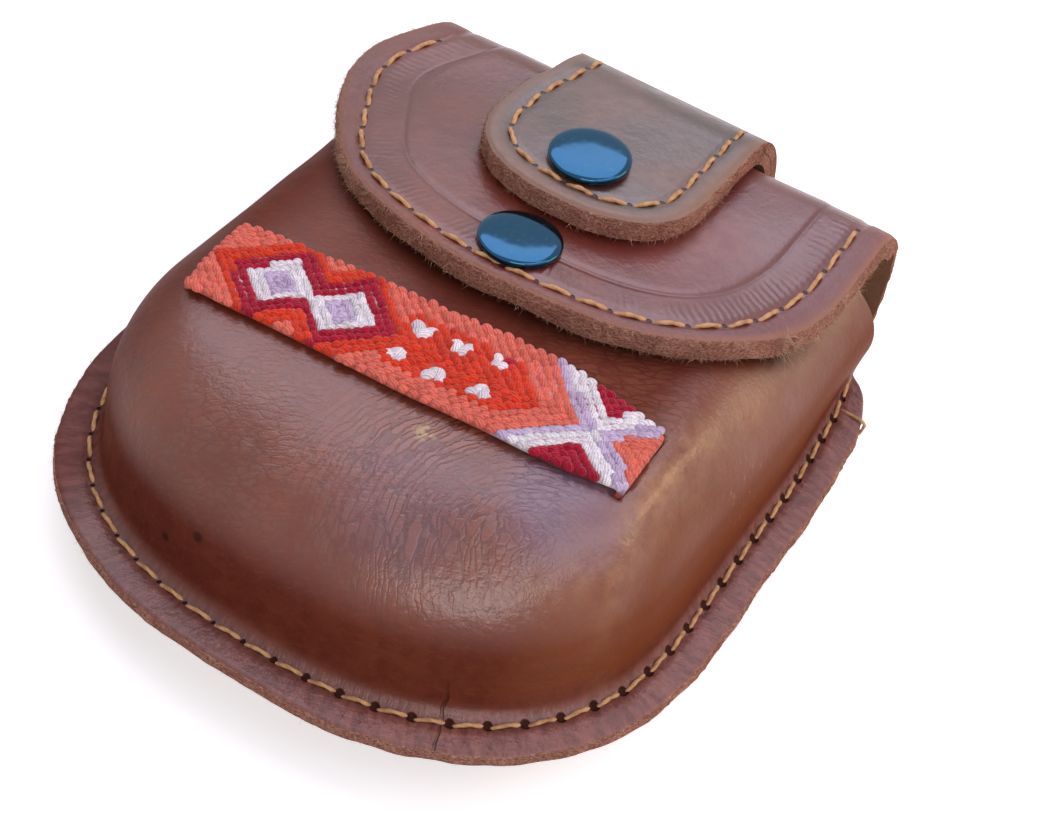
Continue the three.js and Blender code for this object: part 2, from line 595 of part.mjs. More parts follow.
add("strap_tab_outer", tabLayer(SNAP_STACK, postHole), strapLeather);
add("strap_tab_lining", tabLayer(SNAP_STACK - secondLayer, socketHole), suede);
add("strap_snap_cap", snapCap(), blackEnamel, poseOnHide(strapSnapAt, SNAP_STACK + capSeat));
add("strap_snap_socket", snapSocket(), darkMetal, poseOnHide(strapSnapAt, SNAP_STACK + socketSeat));

const part = new THREE.Group();
part.add(purse);

export default part;
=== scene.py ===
import bmesh
import bpy
import numpy as np
from mathutils import Matrix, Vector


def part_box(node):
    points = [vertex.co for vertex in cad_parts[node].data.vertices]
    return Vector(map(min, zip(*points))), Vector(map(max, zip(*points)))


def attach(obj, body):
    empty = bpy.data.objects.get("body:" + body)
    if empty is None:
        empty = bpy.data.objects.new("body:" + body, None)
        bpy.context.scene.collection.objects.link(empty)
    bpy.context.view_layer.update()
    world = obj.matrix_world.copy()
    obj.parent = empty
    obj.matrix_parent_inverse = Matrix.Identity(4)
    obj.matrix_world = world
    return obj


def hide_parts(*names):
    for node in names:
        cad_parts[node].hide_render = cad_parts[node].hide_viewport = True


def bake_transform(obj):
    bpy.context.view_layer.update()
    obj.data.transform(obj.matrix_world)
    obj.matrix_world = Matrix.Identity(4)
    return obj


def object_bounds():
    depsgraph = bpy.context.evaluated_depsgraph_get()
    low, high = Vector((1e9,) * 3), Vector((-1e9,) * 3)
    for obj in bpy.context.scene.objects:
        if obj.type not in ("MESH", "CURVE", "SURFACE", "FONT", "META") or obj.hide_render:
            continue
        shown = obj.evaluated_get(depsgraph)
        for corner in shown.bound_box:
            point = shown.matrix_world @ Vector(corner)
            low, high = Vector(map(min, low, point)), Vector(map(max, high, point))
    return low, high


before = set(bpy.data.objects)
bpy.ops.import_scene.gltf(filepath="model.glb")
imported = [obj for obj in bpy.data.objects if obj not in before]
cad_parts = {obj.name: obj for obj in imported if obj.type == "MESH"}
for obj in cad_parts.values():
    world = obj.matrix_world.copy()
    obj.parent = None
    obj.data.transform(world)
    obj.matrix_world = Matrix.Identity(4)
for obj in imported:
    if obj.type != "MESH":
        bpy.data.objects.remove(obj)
cad_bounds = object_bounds()

# Front panel. One piece of oiled brown cowhide, moulded wet over a block into a deep pouch front with a
# round bottom, and open at the mouth. A flat flange is left round it for the seam, and a slot on each
# side takes an end of the woven band. Shapes are worked out in millimetres from the flange's bottom edge.

MM = 0.001
LEATHER = 1.8
SEAM_GAP = 0.1
POUCH_HALF_WIDTH = 50.2
SIDE_DRAW = 0.6
ROUND_LENGTH = 43.7
ROUND_POWER = 2.4
FLANGE_SIDE = 6.6
FLANGE_BOTTOM = 7.2
FLANGE_TIP = 1.6
FLANGE_TIP_LENGTH = 13
MOUTH_Y = 105
FLANGE_END_Y = 102.5
BELLY_HEIGHT = 22.3
MOUTH_HEIGHT = 18.6
BELLY_TOP = 52
CROWN_FALL_POWER = 1.5
CROWN_DOME = 1
SIDE_SHOULDER = 12.5
BOTTOM_SHOULDER = 30
SHOULDER_POWER = 2.5
BELLY_BULGE = 0.8
MOUTH_BULGE = 2.4
HAND_SKEW = 1.5
SKEW_FADE_Y = 72
TWO_LAYERS = 2 * LEATHER + SEAM_GAP
FOOT_LENGTH = ROUND_LENGTH - FLANGE_BOTTOM
BAND_HALF_SPAN = 33
BAND_WIDTH = 16.2
BAND_Y = 44.4
BAND_TILT = np.radians(3)
SLOT_WIDTH = 1.1
SLOT_DEPTH = 1.3
SLOT_OVERLAP = 0.2
SLOT_END_INSET = 1.2
FLANGE_SEAM = 4.6
STITCH_PITCH = 5.0
FOLD_Y = 105.5
FLAP_HALF_WIDTH = 41.4
FLAP_LENGTH = 45.5
FLAP_ROUND = 36
FLAP_POWER = 2.3
RIDGE_X = 37.2
RIDGE_Y = 47
RIDGE_BEND = 0.008
RIDGE_WIDTH = 2.2
RIDGE_HEIGHT = 0.6
RIDGE_SPAN_Y = (23, 36, 52, 68)
RIDGE_START_X = (25, 32)
HOLLOW_DEPTH = 0.7
EDGE_WANDER = 0.28
WANDER_FADE = 5
EDGE_TO_BODY = (5, 14)
INNER_ROW = 8
FOOT_SOFTNESS = 0.9
FOOT_ROWS = 3.5
FOOT_PASSES = 14
SLOT_SOFTNESS = 0.3
base_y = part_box("front_panel")[0].y / MM
base_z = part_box("back_panel")[0].z / MM


def smooth_step(low, high, value):
    """0 below low, 1 above high and 3t^2 - 2t^3 between them."""
    t = np.clip((value - low) / (high - low), 0, 1)
    return t * t * (3 - 2 * t)


def window(low, full, fade, end, value):
    """0 up to low and from end on, and 1 between full and fade."""
    return smooth_step(low, full, value) * (1 - smooth_step(fade, end, value))


def out_share(x, half, power):
    """(x / half)^power for x from 0 to half, 0 below and 1 above."""
    return np.clip(x / half, 0, 1) ** power


def bell(value):
    """exp(-value^2), for soft ridges and grooves."""
    return np.exp(-value ** 2)


def unit(vectors):
    """Vectors along the last axis brought to length 1. Those of no length stay as they are."""
    return vectors / np.maximum(np.linalg.norm(vectors, axis=-1, keepdims=True), 1e-9)


def ripple(x, y, wavelength, seed):
    """Unevenness of about -1 to 1: the sum of eight sine waves of one length with random headings."""
    waves = np.random.default_rng(seed).uniform(0, 2 * np.pi, (8, 2))
    headings = x[..., None] * np.cos(waves[:, 0]) + y[..., None] * np.sin(waves[:, 0])
    return np.sin(headings * 2 * np.pi / wavelength + waves[:, 1]).sum(-1) / 4


def body_uneven(x, y):
    """Unevenness of the hand-moulded body in millimetres."""
    return 0.35 * ripple(x, y, 31, 1) + 0.15 * ripple(x, y, 14, 2)


def edge_wave(x, y, inward):
    """Slow wave of the flange and of the back's edge in millimetres. It dies out further in."""
    return 0.3 * ripple(x, y, 38, 3) * (1 - smooth_step(*EDGE_TO_BODY, inward))


def worn_ridge(x, y):
    """Ridge rubbed into the right shoulder and the hollow two widths outside it, each from 0 to 1.

    Both are bells across a line that bends outwards by the square of the distance from its middle.
    """
    out = (x - RIDGE_X - RIDGE_BEND * (y - RIDGE_Y) ** 2) / RIDGE_WIDTH
    share = window(*RIDGE_SPAN_Y, y) * smooth_step(*RIDGE_START_X, x)
    return share * bell(out), share * bell(out - 2)


def sewn_edge(inward, seam, drop, reach, depth, width):
    """Height of a grain side near its edge: it drops towards the cut, and the seam lies in a channel."""
    return -drop * (1 - smooth_step(0, reach, inward)) ** 2 - depth * bell((inward - seam) / width)


def tongue_columns(side_steps, round_steps):
    """Sign, share of the way down and angle of columns down a left side, round an end and up a right side."""
    fall = np.linspace(0, 1, side_steps, endpoint=False)
    angle = np.linspace(0, np.pi, round_steps + 1)
    sign = np.concatenate([-np.ones_like(fall), np.zeros_like(angle), np.ones_like(fall)])
    falls = np.concatenate([fall, np.ones_like(angle), fall[::-1]])
    angles = np.concatenate([np.zeros_like(fall), angle, np.full_like(fall, np.pi)])
    return sign, falls, angles


def tongue(columns, out, top, centre, half, length, power):
    """Points of a tongue drawn in towards its middle line to the share out.

    Sides: x = +-out half(y), with y from top to centre. Round end: x = out half |cos|^(2 / power) and
    y = centre - out length |sin|^(2 / power), for angles from 0 to pi.
    """
    sign, fall, angle = columns
    side_y = top + (centre - top) * fall
    across = np.sign(np.cos(angle)) * np.abs(np.cos(angle)) ** (2 / power)
    down = np.abs(np.sin(angle)) ** (2 / power)
    x = np.where(fall < 1, sign * half(side_y), -across * half(centre)) * out
    y = np.where(fall < 1, side_y, centre - length * down * out)
    return x, y


def foot_half(y):
    """Half-width of the moulded body where it leaves the flange."""
    return POUCH_HALF_WIDTH - FLANGE_SIDE - SIDE_DRAW * smooth_step(ROUND_LENGTH, FLANGE_END_Y, y)


def edge_half(y):
    """Half-width of the flange, which rounds off towards its upper ends as a quarter ellipse."""
    into = np.clip((y - FLANGE_END_Y + FLANGE_TIP_LENGTH) / FLANGE_TIP_LENGTH, 0, 1)
    return foot_half(y) + FLANGE_TIP + (FLANGE_SIDE - FLANGE_TIP) * np.sqrt(1 - into ** 2)


def shoulder_share(y, bottom_share):
    """Width of the shoulder as a share of the way in: the side's, and the bottom's by its share."""
    side = SIDE_SHOULDER / foot_half(y)
    return side + (BOTTOM_SHOULDER / FOOT_LENGTH - side) * bottom_share


def front_height(x, y, inset):
    """Height of the front's grain side (inset 0) or flesh side (inset LEATHER) over the back's outer face.

    With out the superellipse distance from the middle, the body rises from its foot over the shoulder's
    width as (1 - (1 - climb)^p)^(1 / p) of the crown, which falls towards the mouth and the sides.
    """
    across = np.abs(x) / (foot_half(np.maximum(y, ROUND_LENGTH)) - inset)
    down = np.maximum(0, ROUND_LENGTH - y) / (FOOT_LENGTH - inset)
    power = across ** ROUND_POWER + down ** ROUND_POWER
    out = np.minimum(1, power ** (1 / ROUND_POWER))
    bottom_share = down ** ROUND_POWER / np.maximum(power, 1e-9)
    climb = np.minimum(1, (1 - out) / shoulder_share(y, bottom_share))
    rise = (1 - (1 - climb) ** SHOULDER_POWER) ** (1 / SHOULDER_POWER)
    fall = (np.maximum(0, y - BELLY_TOP) / (MOUTH_Y - BELLY_TOP)) ** CROWN_FALL_POWER
    crown = BELLY_HEIGHT + (MOUTH_HEIGHT - BELLY_HEIGHT) * fall - CROWN_DOME * across ** 2
    return TWO_LAYERS - inset + crown * rise


def hand_skew(y):
    """How far the hand-cut flange lies to the right of the purse's middle line. It dies out at the mouth."""
    return HAND_SKEW * (1 - smooth_step(SKEW_FADE_Y, FLANGE_END_Y - 4, y))


def front_rings(columns, flange_shares, climbs, inwards, inset):
    """Grid of the front from the flange's edge to the body's foot, up the shoulder and in to the middle.

    The side walls stand out over their foot by a bulge times sin(pi rise).
    """
    edge_x, edge_y = tongue(
        columns, 1, FLANGE_END_Y, ROUND_LENGTH, edge_half, ROUND_LENGTH, ROUND_POWER
    )

    def body_half(y):
        return foot_half(y) - inset

    body = MOUTH_Y, ROUND_LENGTH, body_half, FOOT_LENGTH - inset, ROUND_POWER
    foot_x, foot_y = tongue(columns, 1, *body)
    share = flange_shares[:, None]
    flange = np.stack([
        edge_x + (foot_x - edge_x) * share,
        edge_y + (foot_y - edge_y) * share,
        np.full((len(flange_shares), len(edge_x)), TWO_LAYERS - inset),
    ], -1)
    bottom_share = np.where(columns[1] < 1, 0, np.sin(columns[2]) ** 2)
    shoulder = shoulder_share(ROUND_LENGTH, bottom_share)
    turned = 1 - np.cos(climbs * np.pi / 2) ** (2 / SHOULDER_POWER)
    shoulder_out = 1 - turned[:, None] * shoulder
    crown_out = (1 - shoulder) * (1 - inwards[:, None])
    x, y = tongue(columns, np.concatenate([shoulder_out, crown_out]), *body)
    z = front_height(x, y, inset)
    rise = np.minimum(1, (z + inset - TWO_LAYERS) / MOUTH_HEIGHT)
    bulge = BELLY_BULGE + (MOUTH_BULGE - BELLY_BULGE) * smooth_step(ROUND_LENGTH, MOUTH_Y, y)
    stand = np.sign(x) * bulge * np.sin(np.pi * rise) * (1 - bottom_share)
    body_x = x + stand + hand_skew(y) * (1 - rise)
    flange[..., 0] += hand_skew(flange[..., 1])
    return np.concatenate([flange, np.stack([body_x, y, z], -1)])


def soften(points, strength, passes):
    """Evens a grid along its rings: each point moves a share of the way to the middle of its neighbours."""
    for _ in range(passes):
        middle = (points[:-2] + points[2:]) / 2
        points[1:-1] += strength[1:-1, None, None] * (middle - points[1:-1])
    return points


def ring_distance(points):
    """Distance of each grid point from the edge, measured along the rings."""
    steps = np.linalg.norm(np.diff(points, axis=0), axis=-1)
    return np.concatenate([np.zeros((1, points.shape[1])), np.cumsum(steps, axis=0)])


def line_inside(points, distance, inset):
    """Points of a grid on the line that keeps inset from its edge, between the two nearest rows."""
    row = (distance < inset).sum(axis=0)
    column = np.arange(points.shape[1])
    before, after = distance[row - 1, column], distance[row, column]
    share = ((inset - before) / (after - before))[:, None]
    return points[row - 1, column] * (1 - share) + points[row, column] * share


def line_length(line):
    """Distance along a line of points from its first one."""
    return np.concatenate([[0], np.cumsum(np.linalg.norm(np.diff(line, axis=0), axis=-1))])


def hand_cut(points, distance, depth, seed):
    """A grid whose edge wanders by about depth, as cut by hand. The move fades out over WANDER_FADE."""
    x, y, _ = np.moveaxis(points[0], -1, 0)
    wander = ripple(x, y, 19, seed) + 0.3 * ripple(x, y, 7, seed + 1) + 0.12 * ripple(x, y, 2.6, seed + 2)
    fade = (1 - smooth_step(0, WANDER_FADE, distance))[..., None]
    return points + unit(points[0] - points[INNER_ROW]) * (depth * wander)[:, None] * fade


def band_place(x, y):
    """Distance along the band from its middle and across it."""
    along = x * np.cos(BAND_TILT) + (y - BAND_Y) * np.sin(BAND_TILT)
    across = (y - BAND_Y) * np.cos(BAND_TILT) - x * np.sin(BAND_TILT)
    return along, across


def slot_share(x, y):
    """1 in the two slots of the band and 0 outside them, with soft edges."""
    along, across = np.abs(band_place(x, y))
    share = smooth_step(-SLOT_SOFTNESS, SLOT_SOFTNESS, along - BAND_HALF_SPAN + SLOT_OVERLAP)
    share *= smooth_step(-SLOT_SOFTNESS, SLOT_SOFTNESS, BAND_HALF_SPAN + SLOT_WIDTH - along)
    return share * smooth_step(-SLOT_SOFTNESS, SLOT_SOFTNESS, BAND_WIDTH / 2 - SLOT_END_INSET - across)


def front_masks(points, inward, ridge, hollow):
    """Where the front's grain is rubbed and lit, waxed and shaded, and shaded by the flap, each from 0 to 1.

    It is rubbed lighter on the right shoulder and the ridge, which also carry a painted highlight. Wax shines
    on the crown and the flange, less on the walls and in the hollow, and least under the flap and along the
    left side, where the mask also carries painted shade. Under the flap and just below it lies painted shade.
    """
    x, y, z = np.moveaxis(points, -1, 0)
    level = z / (TWO_LAYERS + BELLY_HEIGHT)
    # Rubbed lighter leather on the right shoulder and the ridge, which is also a painted highlight.
    wear_and_highlight = 0.6 * bell((level - 0.82) / 0.12) * smooth_step(27, 36, x)
    wear_and_highlight = np.maximum(wear_and_highlight * (1 - 0.5 * smooth_step(50, 66, y)), ridge ** 0.6)
    flap_across = out_share(np.abs(x), FLAP_HALF_WIDTH, FLAP_POWER)
    flap_edge = FOLD_Y - FLAP_LENGTH + FLAP_ROUND * (1 - (1 - flap_across) ** (1 / FLAP_POWER))
    # Painted shade under the flap and for a few millimetres below its edge.
    painted_flap_shade = smooth_step(-6, 3, y - flap_edge) * smooth_step(0.7, 0.86, level)
    wax_and_shade = np.maximum(smooth_step(0.45, 0.72, level), 0.75 * (1 - smooth_step(5, 8, inward)))
    wax_and_shade = np.maximum(wax_and_shade, 0.2 * smooth_step(30, 40, x))
    # Less wax under the flap and along the left side. There the mask also darkens the colour as painted
    # shade.
    under_flap = smooth_step(40, 56, y) * (1 - smooth_step(28, 38, x))
    wax_and_shade = wax_and_shade * (1 - (0.65 + 0.3 * smooth_step(-16, 0, x)) * under_flap)
    wax_and_shade = wax_and_shade * (1 - 0.8 * smooth_step(26, 38, -x)) * (1 - 0.5 * hollow) * (1 - 0.7 * painted_flap_shade)
    return {"wear_and_highlight": wear_and_highlight, "wax_and_shade": wax_and_shade, "painted_flap_shade": painted_flap_shade}


def grid_faces(rows, columns):
    """Corner numbers of the quads of a grid of points, row by row."""
    number = np.arange(rows * columns).reshape(rows, columns)
    corners = [number[:-1, :-1], number[:-1, 1:], number[1:, 1:], number[1:, :-1]]
    return np.stack(corners, -1).reshape(-1, 4)


SHARP_ANGLE = np.radians(60)


def finish_mesh(name, points, faces, materials, face_material=None, values=None):
    """Object from points in millimetres: places them in the frame, merges doubles and turns faces outwards.

    values holds named arrays of one number or one colour for each point.
    """
    mesh = bpy.data.meshes.new(name)
    place = (points.reshape(-1, 3) + [0, base_y, base_z]) * MM
    mesh.from_pydata(place.tolist(), [], [list(face) for face in faces])
    for key, value in (values or {}).items():
        kind = ("FLOAT", "value") if np.ndim(value) == 1 else ("FLOAT_COLOR", "color")
        attribute = mesh.attributes.new(key, kind[0], "POINT")
        attribute.data.foreach_set(kind[1], np.asarray(value, np.float32).ravel())
    if face_material is not None:
        mesh.polygons.foreach_set("material_index", np.asarray(face_material, np.int32))
    for material in materials:
        mesh.materials.append(material)
    work = bmesh.new()
    work.from_mesh(mesh)
    bmesh.ops.remove_doubles(work, verts=work.verts, dist=2e-6)
    bmesh.ops.recalc_face_normals(work, faces=work.faces)
    work.to_mesh(mesh)
    work.free()
    mesh.shade_smooth()
    mesh.set_sharp_from_angle(angle=SHARP_ANGLE)
    piece = bpy.data.objects.new(name, mesh)
    bpy.context.scene.collection.objects.link(piece)
    return piece


def wall_faces(low, high):
    """Quads between two lists of point numbers."""
    return [list(quad) for quad in zip(low[:-1], low[1:], high[1:], high[:-1])]


RIM_ROWS = 6
RIM_INNER_ROW = 6
RIM_WAVER = 0.10
FRAY = (0.06, 0.08)
GRAIN, FLESH, RIM = 0, 1, 2


def leather_sheet(name, grain, flesh, materials, along, distance, proud=(0, 0.25), values=None):
    """A sheet of leather between a grain grid and a flesh grid whose first rows are its cut edge.

    The rim between the two first rows is a wall from proud[0] outside the grain's edge to proud[1] outside
    the flesh's, and a little frayed. along and distance are the seam's length at each column and the
    distance of each point from the edge.
    """
    rows, columns, _ = grain.shape
    grain, flesh = grain.copy(), flesh.copy()
    outward = unit(grain[0] - grain[RIM_INNER_ROW])
    number = np.arange(columns)
    waver = RIM_WAVER * ripple(number * 0.7, number * 0.2, 9.7, 5)[:, None]
    grain[0] += outward * (proud[0] + waver * 0.5)
    flesh[0] += outward * (proud[1] + waver)
    share = (np.arange(1, RIM_ROWS + 1) / (RIM_ROWS + 1))[:, None, None]
    fray = np.random.default_rng(7).normal(*FRAY, (RIM_ROWS, columns, 1))
    rim = flesh[0] + (grain[0] - flesh[0]) * share + outward * fray
    points = np.concatenate([flesh[::-1], rim, grain])
    faces = grid_faces(2 * rows + RIM_ROWS, columns)
    face_material = np.repeat([FLESH, RIM, GRAIN], [rows - 1, RIM_ROWS + 1, rows - 1])
    face_material = np.repeat(face_material, columns - 1)
    faces = faces.tolist()
    inner = rows - 1 - np.arange(rows)
    outer = rows + RIM_ROWS + np.arange(rows)
    for column in (0, columns - 1):
        low = (inner * columns + column).tolist()
        high = (outer * columns + column).tolist()
        faces += wall_faces(low, high)
        faces.append([low[0]] + [(rows + row) * columns + column for row in range(RIM_ROWS)] + [high[0]])
    face_material = np.concatenate([face_material, np.full(2 * rows, RIM)])
    rim_distance = np.zeros((RIM_ROWS, columns))
    both = {"seam_in": distance, **(values or {})}
    both = {key: np.concatenate([grid[::-1], rim_distance, grid]).ravel() for key, grid in both.items()}
    both["seam_along"] = np.broadcast_to(along, points.shape[:2]).ravel()
    return finish_mesh(name, points, faces, materials, face_material, both)


def paint(code):
    """Linear colour of a hexadecimal screen colour."""
    channels = np.array([int(code[i:i + 2], 16) for i in (0, 2, 4)]) / 255
    linear = np.where(channels > 0.04045, ((channels + 0.055) / 1.055) ** 2.4, channels / 12.92)
    return (*linear.tolist(), 1)


class Shade:
    """A shader socket for use in Python sums: each operator adds a Math node to the socket's tree."""

    def __init__(self, tree, socket=None):
        self.tree = tree
        self.socket = socket

    def node(self, kind, settings=None, inputs=None, output=0):
        """Adds a node, sets its settings and then its sockets, and gives one of its outputs."""
        node = self.tree.nodes.new(kind)
        for key, setting in (settings or {}).items():
            setattr(node, key, setting)
        for key, value in (inputs or {}).items():
            if isinstance(value, Shade):
                self.tree.links.new(value.socket, node.inputs[key])
            else:
                node.inputs[key].default_value = value
        return Shade(self.tree, node.outputs[output] if len(node.outputs) else None)

    def math(self, operation, *operands):
        """A Math node of one to three values."""
        return self.node("ShaderNodeMath", {"operation": operation}, dict(enumerate(operands)))

    def __add__(self, other):
        return self.math("ADD", self, other)

    def __radd__(self, other):
        return self.math("ADD", other, self)

    def __sub__(self, other):
        return self.math("SUBTRACT", self, other)

    def __rsub__(self, other):
        return self.math("SUBTRACT", other, self)

    def __mul__(self, other):
        return self.math("MULTIPLY", self, other)

    def __rmul__(self, other):
        return self.math("MULTIPLY", other, self)

    def __truediv__(self, other):
        return self.math("DIVIDE", self, other)

    def ease(self, low, high):
        """Smooth step of this value from 0 at low to 1 at high. low may be the larger one."""
        ends = {0: self, 1: low, 2: high, 3: 0.0, 4: 1.0}
        if low > high:
            ends.update({1: high, 2: low, 3: 1.0, 4: 0.0})
        return self.node("ShaderNodeMapRange", {"interpolation_type": "SMOOTHSTEP"}, ends)

    def mixed(self, first, second):
        """Colour between two colours or screen codes, with this value as the share of the second."""
        first, second = (paint(colour) if isinstance(colour, str) else colour for colour in (first, second))
        return self.node("ShaderNodeMix", {"data_type": "RGBA"}, {0: self, 6: first, 7: second}, 2)

    def attribute(self, name, output="Fac"):
        """A named value or colour of the piece's own points."""
        return self.node("ShaderNodeAttribute", {"attribute_name": name}, output=output)

    def place(self, stretch=(1, 1, 1), turn=0.0):
        """Object coordinates in millimetres along axes turned about Z, each divided by its stretch."""
        coordinates = self.node("ShaderNodeTexCoord", output="Object")
        scale = tuple(MM * s for s in stretch)
        inputs = {"Vector": coordinates, "Rotation": (0, 0, turn), "Scale": scale}
        return self.node("ShaderNodeMapping", {"vector_type": "TEXTURE"}, inputs)

    def noise(self, place, size, detail=2.0, roughness=0.5, output=0):
        """Cloudy noise of about 0 to 1 whose patches are size millimetres across. Output 1 is a vector."""
        inputs = {"Vector": place, "Scale": 1 / size, "Detail": detail, "Roughness": roughness}
        return self.node("ShaderNodeTexNoise", None, inputs, output)

    def vector(self, operation, first, second, output=0):
        """A Vector Math node of two vectors."""
        return self.node("ShaderNodeVectorMath", {"operation": operation}, {0: first, 1: second}, output)

    def axis(self, place, name):
        """One coordinate of a place."""
        return self.node("ShaderNodeSeparateXYZ", None, {"Vector": place}, name)

    def bell(self):
        """exp(-value^2), for soft lines."""
        return self.math("EXPONENT", self * self * -1.0)

    def largest(self, other):
        """The larger of this value and another."""
        return self.math("MAXIMUM", self, other)

    def near(self, place, point, reach):
        """1 at a point given from the flange's bottom edge and 0 at reach millimetres from it."""
        x, y, z = point
        distance = self.vector("DISTANCE", place, (x, y + base_y, z + base_z), 1)
        return distance.ease(reach, reach * 0.35)

    def cells(self, place, size, feature="F1"):
        """Distance to the middles or to the edges of random cells of size millimetres."""
        inputs = {"Vector": place, "Scale": 1 / size}
        return self.node("ShaderNodeTexVoronoi", {"feature": feature}, inputs)

    def bump(self, height, strength=1.0):
        """Normal of a surface with a height in millimetres."""
        return self.node("ShaderNodeBump", None, {"Height": height, "Strength": strength, "Distance": MM})


def new_material(name):
    """An empty material and the start of its tree."""
    material = bpy.data.materials.new(name)
    material.use_nodes = True
    material.node_tree.nodes.clear()
    return material, Shade(material.node_tree)


def finish(shade, **inputs):
    """A Principled shader. Words in a name stand for the socket's own name."""
    sockets = {key.replace("_", " "): value for key, value in inputs.items()}
    sockets["Specular IOR Level"] = sockets.pop("Specular", 0.5)
    return shade.node("ShaderNodeBsdfPrincipled", None, sockets)


def surface(shade, **inputs):
    """Ends a material with one Principled shader."""
    shade.node("ShaderNodeOutputMaterial", None, {"Surface": finish(shade, **inputs)})


def layered(tone, *layers):
    """A colour with others laid over it, each given as its share and its colour or screen code."""
    for share, colour in layers:
        tone = share.mixed(tone, colour)
    return tone


def needle_holes(shade, seam, pitch, radius):
    """1 in the needle holes of a seam and 0 away from them, from the piece's own seam distances."""
    steps = shade.attribute("seam_along") / pitch
    along = (shade.math("FRACT", steps + 0.5) - 0.5) * pitch
    across = shade.attribute("seam_in") - seam
    return (shade.math("SQRT", along * along + across * across) / radius).ease(1.0, 0.55)


def grain_height(shade, place):
    """Height of leather grain in millimetres: small rounded cells over fine and middling noise."""
    pebble = shade.cells(place, 0.8, "SMOOTH_F1")
    fine = shade.noise(place, 0.3, 3)
    middling = shade.noise(place, 2.4, 4)
    return pebble * -0.04 + fine * 0.03 + middling * 0.12


def folds(shade, place, drawn_out, size):
    """1 on the folds of creased leather and 0 in its grooves, which are the edges of drawn-out cells."""
    wander = shade.noise(place, 4, 3, output=1)
    wave = shade.node("ShaderNodeVectorMath", {"operation": "SCALE"}, {0: wander, "Scale": 1.8})
    return shade.cells(shade.vector("ADD", drawn_out, wave), size, "DISTANCE_TO_EDGE").ease(0.0, 0.19)


def straight_folds(shade, place, turn, size):
    """Folds that run along a heading."""
    return folds(shade, place, shade.place((3.0, 1, 1), turn), size)


def round_folds(shade, place, centre, size):
    """Folds in arcs round a point: cells of the distance from it and of the angle round it."""
    flat = shade.vector("SUBTRACT", place, (centre[0], centre[1] + base_y, 0))
    east, north = shade.axis(flat, "X"), shade.axis(flat, "Y")
    out = shade.math("SQRT", east * east + north * north)
    turned = shade.math("ARCTAN2", north, east * -1.0)
    polar = shade.node("ShaderNodeCombineXYZ", None, {"X": turned * 3.2, "Y": out})
    return folds(shade, place, polar, size)


WRINKLES = (15, 29, 25)
WRINKLES_LEFT = (-10, 21, 24)
WRINKLES_ABOVE = (24, 60, 25)
FOLD_CENTRE = (31.5, 24)
# Places of a painted lavender sheen on the crown.
PAINTED_SHEEN_RIGHT = (30, 34, 25)
PAINTED_SHEEN_LOW = (12, 22, 25)
FLECK = (8.3, 32.4, 25.9)
SPOT_HIGH = (-10.6, 9.0, 12.5)
SPOT_LOW = (-16, 9.2, 8.5)
CREASE = (29, 8.5)
CREASE_WAY = (0.93, 0.37)
CREASE_MIDDLE = (29, 8.8, 4)
SCUFF = (44.2, 61, 14.5)


